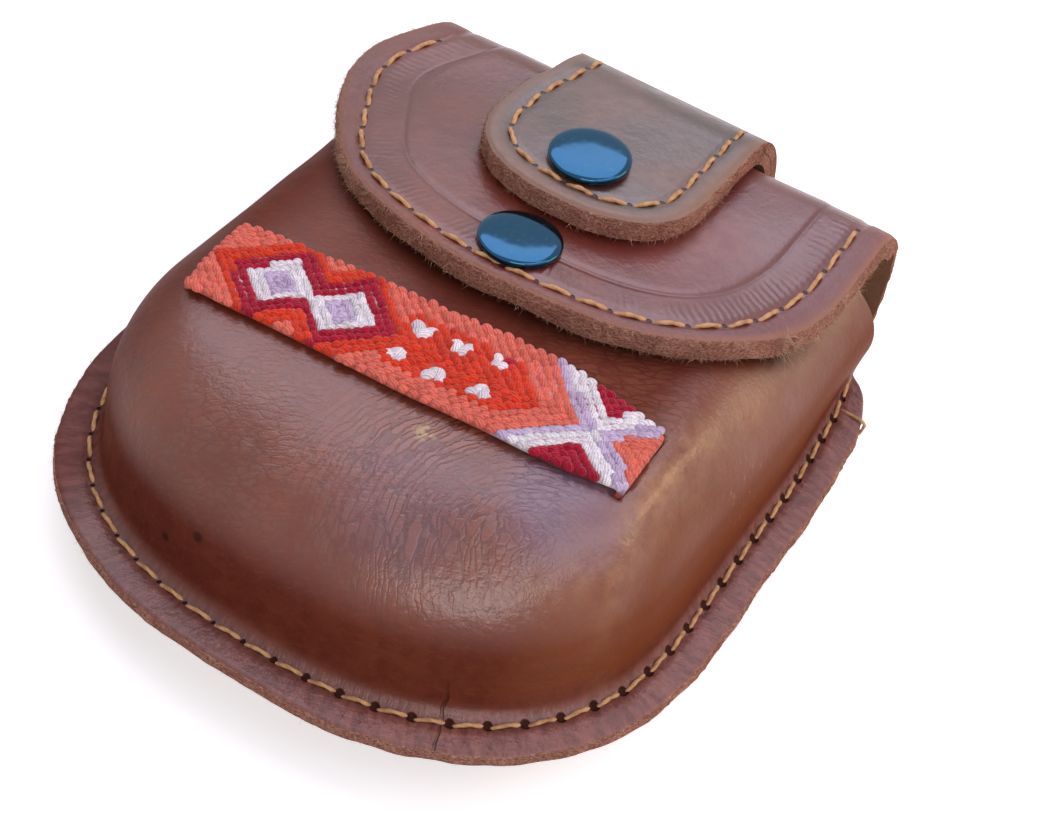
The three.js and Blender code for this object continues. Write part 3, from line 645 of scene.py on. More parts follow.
def front_leather():
    """Oiled brown leather: mottled, wrinkled below the band, waxed on the crown, mauve on the flange."""
    material, shade = new_material("front_leather")
    place = shade.place()
    side = shade.axis(place, "X")
    inward = shade.attribute("seam_in")
    wax_and_shade = shade.attribute("wax_and_shade")
    cloud = shade.noise(place, 24, 3).ease(0.36, 0.66)
    mottle = shade.noise(place, 3.0, 5, 0.6).ease(0.35, 0.7)
    streak = shade.noise(shade.place((3, 0.6, 1), 0.4), 0.7, 3, 0.6)
    wear_and_highlight = shade.attribute("wear_and_highlight") * shade.noise(place, 4, 4, 0.65).ease(0.25, 0.7)

    patchy = shade.noise(place, 6, 3).ease(0.2, 0.62)
    corner = shade.near(place, WRINKLES, 25)
    beside = shade.near(place, WRINKLES_LEFT, 18).largest(shade.near(place, WRINKLES_ABOVE, 22)) * 0.5
    creased = corner.largest(beside) * patchy
    arc = round_folds(shade, place, FOLD_CENTRE, 1.0)
    straight = straight_folds(shade, place, 0.5, 1.0)
    fold = shade.math("MULTIPLY_ADD", corner.ease(0.0, 0.3), arc - straight, straight)
    painted_sheen = shade.near(place, PAINTED_SHEEN_RIGHT, 13) + shade.near(place, PAINTED_SHEEN_LOW, 14) * 0.4
    fleck = shade.near(place, FLECK, 2.2) * shade.noise(place, 0.9, 3).ease(0.45, 0.55)
    spots = shade.near(place, SPOT_HIGH, 1.1).largest(shade.near(place, SPOT_LOW, 0.9))
    across = CREASE_WAY[0] * CREASE[0] + CREASE_WAY[1] * (CREASE[1] + base_y)
    crease = shade.vector("DOT_PRODUCT", place, (*CREASE_WAY, 0), 1) - across
    crease = crease + (shade.noise(place, 2.5, 2) - 0.5) * 1.2
    crease = shade.math("ABSOLUTE", crease).ease(0.32, 0.08) * shade.near(place, CREASE_MIDDLE, 7)
    scratch = shade.noise(shade.place((1, 1, 2.5)), 1.0, 3, 0.6).ease(0.6, 0.68)
    right_wall = side.ease(28.0, 42.0) * inward.ease(7.0, 10.0)

    flange = inward.ease(7.0, 5.2)
    hair_axes = {"X": shade.attribute("seam_along"), "Y": inward * 0.22, "Z": cloud * 3.0}
    hair = shade.noise(shade.node("ShaderNodeCombineXYZ", None, hair_axes), 1.1, 4, 0.65)
    flange_tone = hair.ease(0.3, 0.7).mixed("653833", "925c54")
    flange_tone = (side.ease(32.0, 0.0) * 0.3 + mottle * 0.3).mixed(flange_tone, "4c2620")
    holes = needle_holes(shade, FLANGE_SEAM, STITCH_PITCH, 0.35 + 0.5 * side.ease(-5.0, 18.0))
    groove = ((inward - FLANGE_SEAM) / 0.7).bell()
    tone = layered(
        cloud.mixed("6a3022", "7a3d2a"),
        (mottle * 0.5, "521f16"),
        (streak.ease(0.5, 0.75) * 0.3, "8a4f36"),
        # Darker where the wax mask is low: on the walls, and as painted shade under the flap and along the
        # left side.
        ((1 - wax_and_shade) * 0.32, "471a10"),
        # Painted shade in the folds' grooves and a painted highlight on their crests.
        ((1 - fold) * creased * 0.48, "40190f"),
        (fold * creased * 0.28, "a06a52"),
        # Painted lavender sheen on the right and lower crown.
        (painted_sheen * 0.5, "70627c"),
        # Lighter tan on the right shoulder and ridge: rubbed leather and a painted golden highlight.
        (wear_and_highlight * 0.75, "a3744a"),
        (flange * 0.85, flange_tone),
        (fleck * 0.7, "b59a6c"),
        (spots * 0.7, "1e0d0a"),
        # Dark line along the crease across the flange: painted shade in it.
        (crease * 0.6, "2a120d"),
        (shade.near(place, SCUFF, 7) * scratch * 0.55, "c39a74"),
        (right_wall * 0.6 * (1 - wear_and_highlight), "7c4019"),
        # Painted shade under the flap and just below its edge.
        (shade.attribute("painted_flap_shade") * 0.9, "34100a"),
        # Dark needle holes: painted shade in them.
        (holes * 0.85, "220f0a"),
        (groove * 0.45, "3a1a12"),
    )

    height = grain_height(shade, place) + fold * creased * 0.06 + flange * hair * 0.3 - holes * 0.5
    normal = shade.bump(height + streak * 0.05 - crease * 0.2)
    waxed = finish(shade, Base_Color=tone, Roughness=0.31 + mottle * 0.08, Normal=normal, Specular=0.75)
    dry = finish(shade, Base_Color=tone, Roughness=0.8, Normal=normal, Specular=0.06)
    wax = wax_and_shade * (0.8 + 0.2 * mottle) * (1 - holes)
    mixed = shade.node("ShaderNodeMixShader", None, {0: wax, 1: dry, 2: waxed})
    shade.node("ShaderNodeOutputMaterial", None, {"Surface": mixed})
    return material


def flesh_leather():
    """The flesh side: matt brown suede with a soft nap."""
    material, shade = new_material("flesh_leather")
    place = shade.place()
    nap = shade.noise(place, 0.5, 4, 0.7)
    cloud = shade.noise(place, 6, 3)
    tone = (nap * 0.6 + cloud * 0.4).mixed("6b4835", "9a7052")
    surface(shade, Base_Color=tone, Roughness=0.95, Normal=shade.bump(nap * 0.3), Specular=0.2)
    return material


def cut_edge():
    """The raw cut edge: fibrous tan leather, darker where wax and handling have closed it."""
    material, shade = new_material("cut_edge")
    place = shade.place()
    fibre = shade.noise(shade.place((1, 1, 0.4)), 0.5, 5, 0.7)
    wear = shade.noise(place, 5, 3).ease(0.35, 0.65)
    tone = fibre.ease(0.35, 0.65).mixed("8c5244", "dca690")
    tone = (wear * 0.4).mixed(tone, "7c4439")
    surface(shade, Base_Color=tone, Roughness=0.95, Normal=shade.bump(fibre * 0.5), Specular=0.1)
    return material


leather_side, leather_rim = flesh_leather(), cut_edge()
front_columns = tongue_columns(side_steps=96, round_steps=250)
flange_shares = np.concatenate([[0, 0.02, 0.06], np.linspace(0.12, 1, 14)[:-1]])
front_climbs = np.linspace(0, 1, 36)
front_inwards = np.linspace(0, 1, 30)[1:]
front_rows = [
    front_rings(front_columns, flange_shares, front_climbs, front_inwards, inset) for inset in (0, LEATHER)
]
from_foot = (np.arange(len(front_rows[0])) - len(flange_shares)) / FOOT_ROWS
front_grain, front_flesh = (soften(rows, FOOT_SOFTNESS * bell(from_foot), FOOT_PASSES) for rows in front_rows)
front_in = ring_distance(front_grain)
flange_along = line_length(line_inside(front_grain, front_in, FLANGE_SEAM))
moulded = front_grain.copy()
front_x, front_y = moulded[..., 0], moulded[..., 1]
ridge, hollow = worn_ridge(front_x, front_y)
formed = body_uneven(front_x, front_y) * smooth_step(*EDGE_TO_BODY, front_in)
formed = formed + edge_wave(front_x, front_y, front_in)
formed = formed + RIDGE_HEIGHT * ridge - HOLLOW_DEPTH * hollow - SLOT_DEPTH * slot_share(front_x, front_y)
front_grain, front_flesh = (hand_cut(grid, front_in, EDGE_WANDER, 51) for grid in (front_grain, front_flesh))
front_grain[..., 2] += formed + sewn_edge(front_in, FLANGE_SEAM, drop=0.2, reach=0.6, depth=0.35, width=0.8)
front_flesh[..., 2] += formed
front = leather_sheet(
    "pouch_front", front_grain, front_flesh, [front_leather(), leather_side, leather_rim],
    flange_along, front_in, values=front_masks(moulded, front_in, ridge, hollow),
)
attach(front, "pouch")
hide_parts("front_panel")

# Woven band. A knotted cotton bracelet of the common kind, with diamonds, hearts and a cross in reds,
# coral, white and lavender. It lies on the front, and its ends turn down through the slots.

BAND_THICKNESS = 1.3
BAND_GAP = 0.25
BAND_BEND = 2
BAND_END = 4
KNOTS_PAST_SLOT = 1.5
KNOT_SINK = 0.5
GAP_SINK = 0.5
CLOTH_SINK = 0.3
CLOTH_SHADE = 0.72
BAND_EDGE_ALONG = [-36, -28, -18, -5, 6, 13, 20, 27, 34]
BAND_UPPER = [7.0, 7.6, 7.9, 8.3, 9.0, 9.6, 9.0, 7.9, 6.3]
BAND_LOWER = [-7.6, -8.3, -8.6, -8.6, -8.5, -8.5, -8.4, -7.9, -6.2]
KNOT_COLUMNS = 21
KNOT_STEP = 0.83
# The gap colour is painted shade: dark knots sunk into the hearts' notches.
BAND_COLOURS = {
    "coral": paint("f27a66"), "orange": paint("ea4224"), "crimson": paint("b81236"),
    "white": paint("faf6fb"), "lavender": paint("d6c3e2"), "gap": paint("2c0f0c"),
}
KNOT_LONG = 1.05
KNOT_WIDE = 0.80
KNOT_HIGH = 0.95
KNOT_ERROR = 0.09
KNOT_TURN = 0.22
DIAMONDS = [(-22.9, -0.6), (-12.7, -0.6)]
DIAMONDS_END = -4.5
DIAMOND_RINGS = {"orange": 11, "crimson": 8.2, "white": 5.4, "lavender": 2.7}
FIELD_HALF = 5.4
FIELD_POINT = 18.5
CHEVRON_END = 17
CROSS = (26.3, 0.4)
CROSS_START = 13.5
CROSS_RINGS = {"lavender": 2.6, "white": 0, "crimson": -3.5}
HEART_KNOT = 1.35
HEART_ALONG = np.array([-0.95, -0.38, 0.38, 0.95])
HEART_ACROSS = np.array([0.6, -0.5, -0.5, 0.6])
HEART_LEAN = np.array([-1, -1, 1, 1])
HEART_ROOM = (1.45, 1.35)
HEARTS = [
    (-1.9, 2.8, 1, "white"), (4.0, 3.0, 1, "white"), (10.0, 3.7, 1, "crimson"),
    (-2.4, -3.4, -1, "white"), (3.9, -3.4, -1, "white"), (10.5, -2.9, -1, "white"),
]


def front_frame(x, y):
    """Point of the front's grain side and the way out of it, by differences of its height."""
    step = 0.05
    slope_x = (front_height(x + step, y, 0) - front_height(x - step, y, 0)) / (2 * step)
    slope_y = (front_height(x, y + step, 0) - front_height(x, y - step, 0)) / (2 * step)
    normal = unit(np.stack([-slope_x, -slope_y, np.ones_like(x)], -1))
    return np.stack([x, y, front_height(x, y, 0) + body_uneven(x, y)], -1), normal


def on_band(along, across, height):
    """Point over the front at a place of the band. Past the slots' near edges the band turns down."""
    inside = np.clip(along, -BAND_HALF_SPAN, BAND_HALF_SPAN)
    x = inside * np.cos(BAND_TILT) - across * np.sin(BAND_TILT)
    y = BAND_Y + inside * np.sin(BAND_TILT) + across * np.cos(BAND_TILT)
    point, normal = front_frame(x, y)
    width = np.array([-np.sin(BAND_TILT), np.cos(BAND_TILT), 0])
    run = np.cross(np.broadcast_to(width, normal.shape), normal)
    past = along - inside
    turn = np.clip(np.abs(past) / (BAND_THICKNESS + BAND_GAP), 0, np.pi / 2)
    lift = (BAND_GAP + height) * np.cos(turn) - np.maximum(0, np.abs(past) - BAND_BEND)
    reach = np.sign(past) * (BAND_GAP + height) * np.sin(turn)
    return point + normal * lift[..., None] + run * reach[..., None]


def band_colour(along, across):
    """Colour name of a knot from sums of its distances along and across the band, as knotting makes them."""
    name = np.full(along.shape, "coral", dtype="<U8")
    near = np.min([np.abs(along - a) + np.abs(across - b) for a, b in DIAMONDS], axis=0)
    left = along < DIAMONDS_END
    name[~left & (np.abs(across) < np.minimum(FIELD_HALF, FIELD_POINT - along))] = "orange"
    for colour, reach in DIAMOND_RINGS.items():
        name[left & (near < reach)] = colour
    beyond = np.abs(along - CROSS[0]) - np.abs(across - CROSS[1])
    for colour, reach in CROSS_RINGS.items():
        name[(along > CROSS_START) & (beyond <= reach)] = colour
    # Painted shade in the hearts' notches.
    for a, b, side, _ in HEARTS:
        notch = (np.abs(along - a) < 0.7) & (np.abs(across - b - 0.9 * side) < 0.8)
        name[notch] = "gap"
    return name


def band_lean(along, across):
    """+1 or -1 for the diagonal that the knots of a place follow: round a diamond, a chevron or the cross."""
    first, second = DIAMONDS
    middle = np.where(along < (first[0] + second[0]) / 2, first[0], second[0])
    round_diamond = -np.sign((along - middle) * (across - first[1]))
    chevron = -np.sign(across)
    in_cross = np.sign((along - CROSS[0]) * (across - CROSS[1]))
    lean = np.where(along < DIAMONDS_END, round_diamond, np.where(along < CHEVRON_END, chevron, in_cross))
    return np.where(lean == 0, 1, lean)


def cotton():
    """Matt cotton thread: each knot's own colour, its twisted strands, and a fine fuzz."""
    material, shade = new_material("cotton")
    place = shade.place()
    fuzz = shade.noise(place, 0.25, 4, 0.7)
    strand = shade.attribute("strand")
    twist = shade.math("COSINE", strand * 15.0 + fuzz * 2.5)
    tone = shade.attribute("knot_colour", "Color")
    shadow = fuzz.ease(0.55, 0.25) * 0.35 + twist.ease(-0.3, -1.0) * 0.3
    shaded = {0: shadow, 6: tone, 7: (0.45, 0.30, 0.36, 1)}
    tone = shade.node("ShaderNodeMix", {"data_type": "RGBA", "blend_type": "MULTIPLY"}, shaded, 2)
    height = fuzz * 0.16 + twist * 0.05
    surface(shade, Base_Color=tone, Roughness=0.95, Normal=shade.bump(height), Specular=0.1,
            Sheen_Weight=0.2, Sheen_Roughness=0.5)
    return material


def over_width(along, share):
    """Place across the band at a share of its width from the lower edge."""
    low, high = (np.interp(along, BAND_EDGE_ALONG, edge) for edge in (BAND_LOWER, BAND_UPPER))
    return low + (high - low) * share


def knot_places():
    """Place, lean and colour of each knot: a lattice of diagonals with room for the hearts' own knots."""
    rows = int((BAND_HALF_SPAN + KNOTS_PAST_SLOT) / KNOT_STEP)
    row, column = np.meshgrid(np.arange(-rows, rows + 1), np.arange(KNOT_COLUMNS), indexing="ij")
    keep = (row + column) % 2 == 0
    along = row[keep] * KNOT_STEP
    share = (column[keep] + 0.5) / KNOT_COLUMNS
    across = over_width(along, share)
    room_along, room_across = HEART_ROOM
    free = np.all([
        (np.abs(along - a) > room_along) | (np.abs(across - b) > room_across) for a, b, _, _ in HEARTS
    ], axis=0)
    along, across = along[free], across[free]
    lean, colour = band_lean(along, across), band_colour(along, across)
    lean = np.where((share[free] < 0.05) | (share[free] > 0.95), 0.25 * lean, lean)
    for a, b, side, last in HEARTS:
        along = np.append(along, a + HEART_ALONG)
        across = np.append(across, b + side * HEART_ACROSS)
        lean = np.append(lean, side * HEART_LEAN)
        colour = np.append(colour, ["white", "white", "white", last])
    return along, across, lean, colour


def repeated_faces(count, rows, columns):
    """Corner numbers of many grids of one size whose points follow each other."""
    first = np.arange(count)[:, None, None] * rows * columns
    return (grid_faces(rows, columns)[None] + first).reshape(-1, 4)


def band_knots():
    """Half ellipsoids on the band, each turned 45 degrees to its lean and a little uneven."""
    *places, colour = knot_places()
    count = len(colour)
    each = (count, 1, 1)
    along, across, lean = (values.reshape(each) for values in places)
    rng = np.random.default_rng(11)
    along = along + rng.normal(0, KNOT_ERROR, each)
    across = across + rng.normal(0, KNOT_ERROR, each)
    around = np.linspace(0, 2 * np.pi, 13)
    up = np.linspace(0, np.pi / 2, 6)
    u = np.cos(around)[None, :] * np.cos(up)[:, None]
    v = np.sin(around)[None, :] * np.cos(up)[:, None]
    w = np.broadcast_to(np.sin(up)[:, None], u.shape)
    size = rng.uniform(0.9, 1.16, each)
    size[-len(HEART_ALONG) * len(HEARTS):] *= HEART_KNOT
    rise = rng.uniform(0.75, 1.2, each)
    angle = lean * np.pi / 4 + rng.normal(0, KNOT_TURN, each)
    local_x = u * KNOT_LONG * KNOT_STEP * size
    local_y = v * KNOT_WIDE * KNOT_STEP * size
    knot_along = along + local_x * np.cos(angle) - local_y * np.sin(angle)
    knot_across = across + local_x * np.sin(angle) + local_y * np.cos(angle)
    sunk = (colour == "gap").reshape(each) * GAP_SINK
    height = BAND_THICKNESS - KNOT_SINK - sunk + w * KNOT_HIGH * KNOT_STEP * rise
    points = on_band(knot_along, knot_across, height)
    faces = repeated_faces(count, len(up), len(around))
    paints = np.array([BAND_COLOURS[name] for name in colour])
    paints[:, :3] *= rng.uniform(0.84, 1.1, (count, 1))
    tints = np.repeat(paints, len(up) * len(around), axis=0)
    strand = local_y + 0.5 * local_x + rng.uniform(0, 1, each)
    return points, faces, tints, strand


def band_cloth():
    """The cloth under the knots: a flat bar that follows the front and turns down at both ends."""
    along = np.concatenate([
        np.linspace(-BAND_HALF_SPAN - BAND_END, -BAND_HALF_SPAN, 10, endpoint=False),
        np.linspace(-BAND_HALF_SPAN, BAND_HALF_SPAN, 90),
        np.linspace(BAND_HALF_SPAN, BAND_HALF_SPAN + BAND_END, 11)[1:],
    ])
    side = np.array([0, -0.01, 0, 0.5, 1, 1.01, 1, 0]) * 0.96 + 0.02
    height = np.array([0, 0.5, 1, 1, 1, 0.5, 0, 0]) * (BAND_THICKNESS - CLOTH_SINK)
    along_grid, side_grid = np.meshgrid(along, side, indexing="ij")
    across_grid = over_width(along_grid, side_grid)
    points = on_band(along_grid, across_grid, np.broadcast_to(height, along_grid.shape))
    return points, grid_faces(*along_grid.shape), band_colour(along_grid, across_grid)


knot_points, knot_faces, knot_tints, knot_strand = band_knots()
cloth_points, cloth_faces, cloth_names = band_cloth()
cloth_tints = np.array([BAND_COLOURS[name] for name in cloth_names.ravel()])
cloth_tints[:, :3] *= CLOTH_SHADE
band = finish_mesh(
    "knotted_band",
    np.concatenate([cloth_points.reshape(-1, 3), knot_points.reshape(-1, 3)]),
    np.concatenate([cloth_faces, knot_faces + len(cloth_tints)]),
    [cotton()],
    values={
        "knot_colour": np.concatenate([cloth_tints, knot_tints]),
        "strand": np.concatenate([np.zeros(len(cloth_tints)), knot_strand.ravel()]),
    },
)
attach(band, "pouch")
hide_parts("woven_band")

# Hide. Back panel, fold and flap are one piece of cowhide: flat under the pouch, curved up behind the
# mouth and over to the flap, which is polished, pleated finely inside its seam and pressed with a line.

FOLD_REACH = 11.2
MOUTH_GAP = 2.2
FLAP_BEND = 14
FLAP_DROOP = 2.6
FLAP_DROOP_POWER = 3.5
FLAP_SNAP_INSET = 8.4
SNAP_STACK = 4.55
FLAP_SEAM = 2.6
FLAP_SEAM_EXTRA = 2.0
FLAP_PITCH = 5.6
LEFT_SWELL = 3.0
SWELL_SPAN = np.array([-3, 12, 13, 33])
CORNER_ROUND = 2.0
CORNER_START = 4
CORNER_MIDDLE = 5
CORNER_END = 9
FOLD_BLEND_BELOW = 10
FOLD_BLEND_ABOVE = 8
PRESSED_LINE = 8.8
PILLOW = 0.25
BACK_INSET = 1.5
FAR_FROM_SEAM = 20
SNAP_Y = FOLD_Y - FLAP_LENGTH + FLAP_SNAP_INSET
CROWN_Z = TWO_LAYERS + MOUTH_HEIGHT + MOUTH_GAP + TWO_LAYERS
FOLD_Z = CROWN_Z / 2


def hide_line():
    """Points of the hide's grain side in the Y-Z plane: flat back, half ellipse, parabola, straight flap."""
    snap_z = float(front_height(np.zeros(1), np.array([SNAP_Y]), 0)[0]) + SNAP_STACK
    bend = np.array([FOLD_Y - FLAP_BEND, CROWN_Z])
    way = unit(np.array([SNAP_Y, snap_z]) - bend)
    back = np.stack([np.linspace(0, FOLD_Y, 400), np.zeros(400)], -1)
    angle = np.linspace(-np.pi / 2, np.pi / 2, 600)
    fold = np.stack([FOLD_Y + FOLD_REACH * np.cos(angle), FOLD_Z + FOLD_Z * np.sin(angle)], -1)
    t = np.linspace(0, 1, 300)[:, None]
    start = np.array([FOLD_Y, CROWN_Z])
    curve = start * (1 - t) ** 2 + bend * 2 * t * (1 - t) + (bend + way * FLAP_BEND) * t ** 2
    end = bend + way * np.linspace(FLAP_BEND, FLAP_LENGTH - FLAP_BEND, 200)[:, None]
    parts = [back, fold[1:], curve[1:], end[1:]]
    line = np.concatenate(parts)
    length = line_length(line)
    marks = np.cumsum([len(part) for part in parts]) - 1
    return line, length, length[marks]


hide_points, hide_length, (back_end, fold_end, _, hide_end) = hide_line()
hinge_along = (back_end + fold_end) / 2


def hide_place(along):
    """Y and Z of the hide's grain side at a distance along it."""
    return np.stack([np.interp(along, hide_length, hide_points[:, i]) for i in range(2)])


def on_hide(x, along, outside):
    """Point a distance outside the hide's grain side.

    The flap's sides hang by a power of x. The left side is cut fuller below the fold and rounded off at it.
    """
    step = 0.2
    y, z = hide_place(along)
    way_y, way_z = hide_place(along + step) - hide_place(along - step)
    way = np.hypot(way_y, way_z)
    hang = FLAP_DROOP * out_share(np.abs(x), FLAP_HALF_WIDTH, FLAP_DROOP_POWER)
    hang = hang * smooth_step(fold_end, fold_end + 2 * FLAP_BEND, along)
    left = out_share(-x, FLAP_HALF_WIDTH, 2)
    swell = window(*(fold_end + SWELL_SPAN), along)
    corner = fold_end - CORNER_MIDDLE
    round_off = window(hinge_along - CORNER_START, corner, corner, fold_end + CORNER_END, along)
    wide = x - left * (LEFT_SWELL * swell - CORNER_ROUND * round_off)
    return np.stack([wide, y + way_z / way * outside, z - way_y / way * outside - hang], -1)


def straight_half(width):
    """Half-width of a tongue with straight sides, as a function of the place along it."""
    def half(y):
        return np.full_like(y, width, dtype=float)
    return half


def flap_grid(from_along, columns, shares):
    """Across and along places of the flap's grid, from a line across the hide to the flap's tip."""
    half, centre = straight_half(FLAP_HALF_WIDTH), hide_end - FLAP_ROUND
    return tongue(columns, shares[:, None], from_along, centre, half, -FLAP_ROUND, FLAP_POWER)


def hide_uneven(x, along):
    """Unevenness of the flap's two layers in millimetres."""
    return 0.25 * ripple(x, along, 27, 21)


def flap_leather():
    """Polished reddish-brown leather with a pressed line and fine pleats between it and the seam."""
    material, shade = new_material("flap_leather")
    place = shade.place()
    cloud = shade.noise(place, 22, 3).ease(0.35, 0.65)
    mottle = shade.noise(place, 2.6, 5, 0.6).ease(0.35, 0.7)
    side = shade.axis(place, "X")
    inward = shade.attribute("seam_in")
    worked = shade.attribute("worked")
    wander = shade.noise(place, 5, 2)
    pleats = shade.math("SINE", shade.attribute("seam_along") * 4.9 + wander * 9.0) * 0.5 + 0.5
    pleated = inward.ease(2.9, 4.2) * inward.ease(PRESSED_LINE - 0.4, PRESSED_LINE - 3) * worked
    pleated = pleated * shade.noise(place, 8, 2).ease(0.25, 0.6) * (0.4 + 0.6 * side.ease(-25.0, 5.0))
    pressed = ((inward - PRESSED_LINE) / 0.4).bell() * worked
    edge = inward.ease(1.1, 0.1)
    holes = needle_holes(shade, FLAP_SEAM, FLAP_PITCH, 0.42) * worked.ease(0.45, 0.55)
    tone = layered(
        cloud.mixed("64271e", "7a3829"),
        (mottle * 0.35, "50201a"),
        # Painted lavender sheen towards the right side.
        (side.ease(4.0, 28.0) * 0.3, "6e4652"),
        # Painted shade towards the left side.
        (side.ease(-8.0, -32.0) * 0.3, "481a12"),
        # Painted shade in the pleats' hollows.
        (pleated * (1 - pleats) * 0.22, "4c2420"),
        (pressed * 0.22, "48201a"),
        (edge * 0.6, "96654f"),
        # Dark needle holes: painted shade in them.
        (holes * 0.8, "2c130e"),
    )
    height = grain_height(shade, place) * 0.6 + pleated * pleats * 0.06 - pressed * 0.12 - holes * 0.4
    border = inward.ease(2.4, 1.6)
    height = height + border * shade.noise(place, 1.1, 4, 0.65) * 0.25
    rough = 0.25 + cloud * 0.10 + mottle * 0.06 + border * 0.12 + edge * 0.2 + holes * 0.5
    surface(shade, Base_Color=tone, Roughness=rough, Normal=shade.bump(height), Specular=0.7)
    return material


edge_steps = np.array([0, 0.15, 0.4, 0.8, 1.3])
flap_steps = np.concatenate([edge_steps, np.arange(1.9, 12.5, 0.6), np.linspace(13, FLAP_HALF_WIDTH, 20)])
flap_shares = 1 - flap_steps / FLAP_HALF_WIDTH
flap_columns = tongue_columns(side_steps=70, round_steps=240)
flap_x, flap_at = flap_grid(hinge_along, flap_columns, flap_shares)
flap_grain = on_hide(flap_x, flap_at, np.zeros_like(flap_x))
side_share = 1 - smooth_step(hide_end - 26, hide_end - 6, flap_at[0])
edge_distance = ring_distance(flap_grain)
flap_in = edge_distance - FLAP_SEAM_EXTRA * side_share * smooth_step(0, 4, edge_distance)
flap_along = line_length(line_inside(flap_grain, flap_in, FLAP_SEAM))
pillow = PILLOW * smooth_step(PRESSED_LINE - 0.6, PRESSED_LINE + 1.5, flap_in)
worked_height = sewn_edge(flap_in, FLAP_SEAM, drop=0.4, reach=0.9, depth=0.3, width=0.7) + pillow
flap_uneven = hide_uneven(flap_x, flap_at) * smooth_step(0, 12, flap_at - hinge_along)
past_fold = smooth_step(fold_end - 14, fold_end - 2, flap_at)
flap_grain = on_hide(flap_x, flap_at, worked_height * past_fold + flap_uneven)
flap_flesh = on_hide(flap_x, flap_at, flap_uneven - LEATHER)


def in_frame(y, z):
    """A point of the middle plane in the frame, in metres."""
    return 0, (y + base_y) * MM, (z + base_z) * MM


def back_half(along):
    """Half-width of the hide below the hinge line: the flange's, narrowed to the flap's above the seam."""
    narrowed = smooth_step(FLANGE_END_Y - 1, FLANGE_END_Y + 2, along)
    return (edge_half(along) - BACK_INSET) * (1 - narrowed) + FLAP_HALF_WIDTH * narrowed


back_columns = tongue_columns(side_steps=60, round_steps=90)
back_x, back_at = tongue(
    back_columns, flap_shares[:, None], hinge_along, ROUND_LENGTH, back_half, ROUND_LENGTH - BACK_INSET,
    ROUND_POWER,
)
back_in = ring_distance(on_hide(back_x, back_at, np.zeros_like(back_x)))
back_along = np.zeros(back_x.shape[1])
back_wave = edge_wave(back_x, back_at, back_in) * (1 - smooth_step(80, 100, back_at))
back_x = back_x + hand_skew(back_at)
back_grain, back_flesh = (on_hide(back_x, back_at, -back_wave - inset) for inset in (0, LEATHER))
flap_finish = [flap_leather(), leather_side, leather_rim]
worked = smooth_step(fold_end - 5, fold_end - 1, flap_at)
hide = leather_sheet(
    "flap_hide", flap_grain, flap_flesh, flap_finish, flap_along, flap_in, values={"worked": worked}
)
back = leather_sheet("back_hide", back_grain, back_flesh, flap_finish, back_along, back_in + FAR_FROM_SEAM)
fold_low = in_frame(FOLD_Y, FOLD_Z - FOLD_BLEND_BELOW)
fold_high = in_frame(FOLD_Y, FOLD_Z + FOLD_BLEND_ABOVE)
for piece, node in ((hide, "flap_outer"), (back, "back_panel")):
    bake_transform(piece)
    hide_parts(node)

# Flap lining. A second layer of leather, flesh side out, glued and sewn under the flap. Its cut edge shows
# below the flap's own.

LINING_BACK = 10


def layers_meet(inward):
    """How far the gap between two sewn layers closes towards their cut edges."""
    return SEAM_GAP * (1 - smooth_step(0, 2, inward))


lining_x, lining_at = flap_grid(fold_end - LINING_BACK, flap_columns, flap_shares)
lining_edge = 0.35 * ripple(lining_x, lining_at, 16, 31) * (1 - smooth_step(0, 6, flap_in))
lining_uneven = hide_uneven(lining_x, lining_at)
lining_top = on_hide(lining_x, lining_at, lining_uneven + layers_meet(flap_in) - LEATHER - SEAM_GAP)
lining_low = on_hide(lining_x, lining_at, lining_uneven + lining_edge - TWO_LAYERS)
lining_finish = [leather_side, leather_side, leather_rim]
lining = leather_sheet(
    "flap_lining_suede", lining_top, lining_low, lining_finish, flap_along, ring_distance(lining_top),
    proud=(0.25, 0.1),
)
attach(lining, "flap")
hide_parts("flap_lining")

# Strap. It is sewn to the back, runs free behind the belt, over the fold and on to the flap, where its
# rounded tab snaps down. The outer layer is waxed greyish-brown leather, and the part over the fold and
# the tab are lined.

STRAP_HALF_WIDTH = 17.6
STRAP_ROUND = 15
STRAP_POWER = 2.3
STRAP_TIP_GAP = 1.8
STRAP_SNAP_INSET = 10.4
CAP_DIAMETER = 12.5
BELT_GAP = 4.5
BELT_RUN_START = 47
STRAP_RAMP = 10
STRAP_SEWN = 15
STRAP_SEAM = 3.8
TAB_CORNER_ROUND = 1.6
TAB_DOME = 0.4
TAB_BLEND_BEHIND = 4
TAB_BLEND_BEFORE = 5
SPLIT_BACK = 5
CORNER_FADE = 18
STRAP_PITCH = 5.2
STRAP_DROP = BELT_GAP + LEATHER
flap_snap_along = hide_end - FLAP_SNAP_INSET
strap_tip = flap_snap_along - CAP_DIAMETER / 2 - STRAP_TIP_GAP
strap_snap_along = strap_tip - STRAP_SNAP_INSET
strap_split = fold_end - SPLIT_BACK


def strap_leather():
    """Waxed greyish-brown leather, darker in patches and rubbed lighter towards its edges."""
    material, shade = new_material("strap_leather")
    place = shade.place()
    cloud = shade.noise(place, 13, 4).ease(0.35, 0.65)
    mottle = shade.noise(place, 2.2, 5, 0.65).ease(0.35, 0.7)
    edge = shade.attribute("seam_in").ease(3.0, 0.3)
    holes = needle_holes(shade, STRAP_SEAM, STRAP_PITCH, 0.42)
    tone = layered(
        cloud.mixed("40241b", "5e3828"),
        (mottle * 0.4, "301b14"),
        (edge * 0.5, "8b6148"),
        # Dark needle holes: painted shade in them.
        (holes * 0.8, "26130d"),
    )
    height = grain_height(shade, place) * 0.7 - holes * 0.4
    rough = 0.28 + cloud * 0.08 + mottle * 0.08 + edge * 0.2 + holes * 0.4
    surface(shade, Base_Color=tone, Roughness=rough, Normal=shade.bump(height), Specular=0.95)
    return material


def over_fold(start, count):
    """Outer face of the strap over the fold in the Y-Z plane, from a place along the hide to the split."""
    at = np.linspace(start, strap_split, count)
    return on_hide(np.zeros(count), at, np.full(count, SNAP_STACK))[:, 1:]


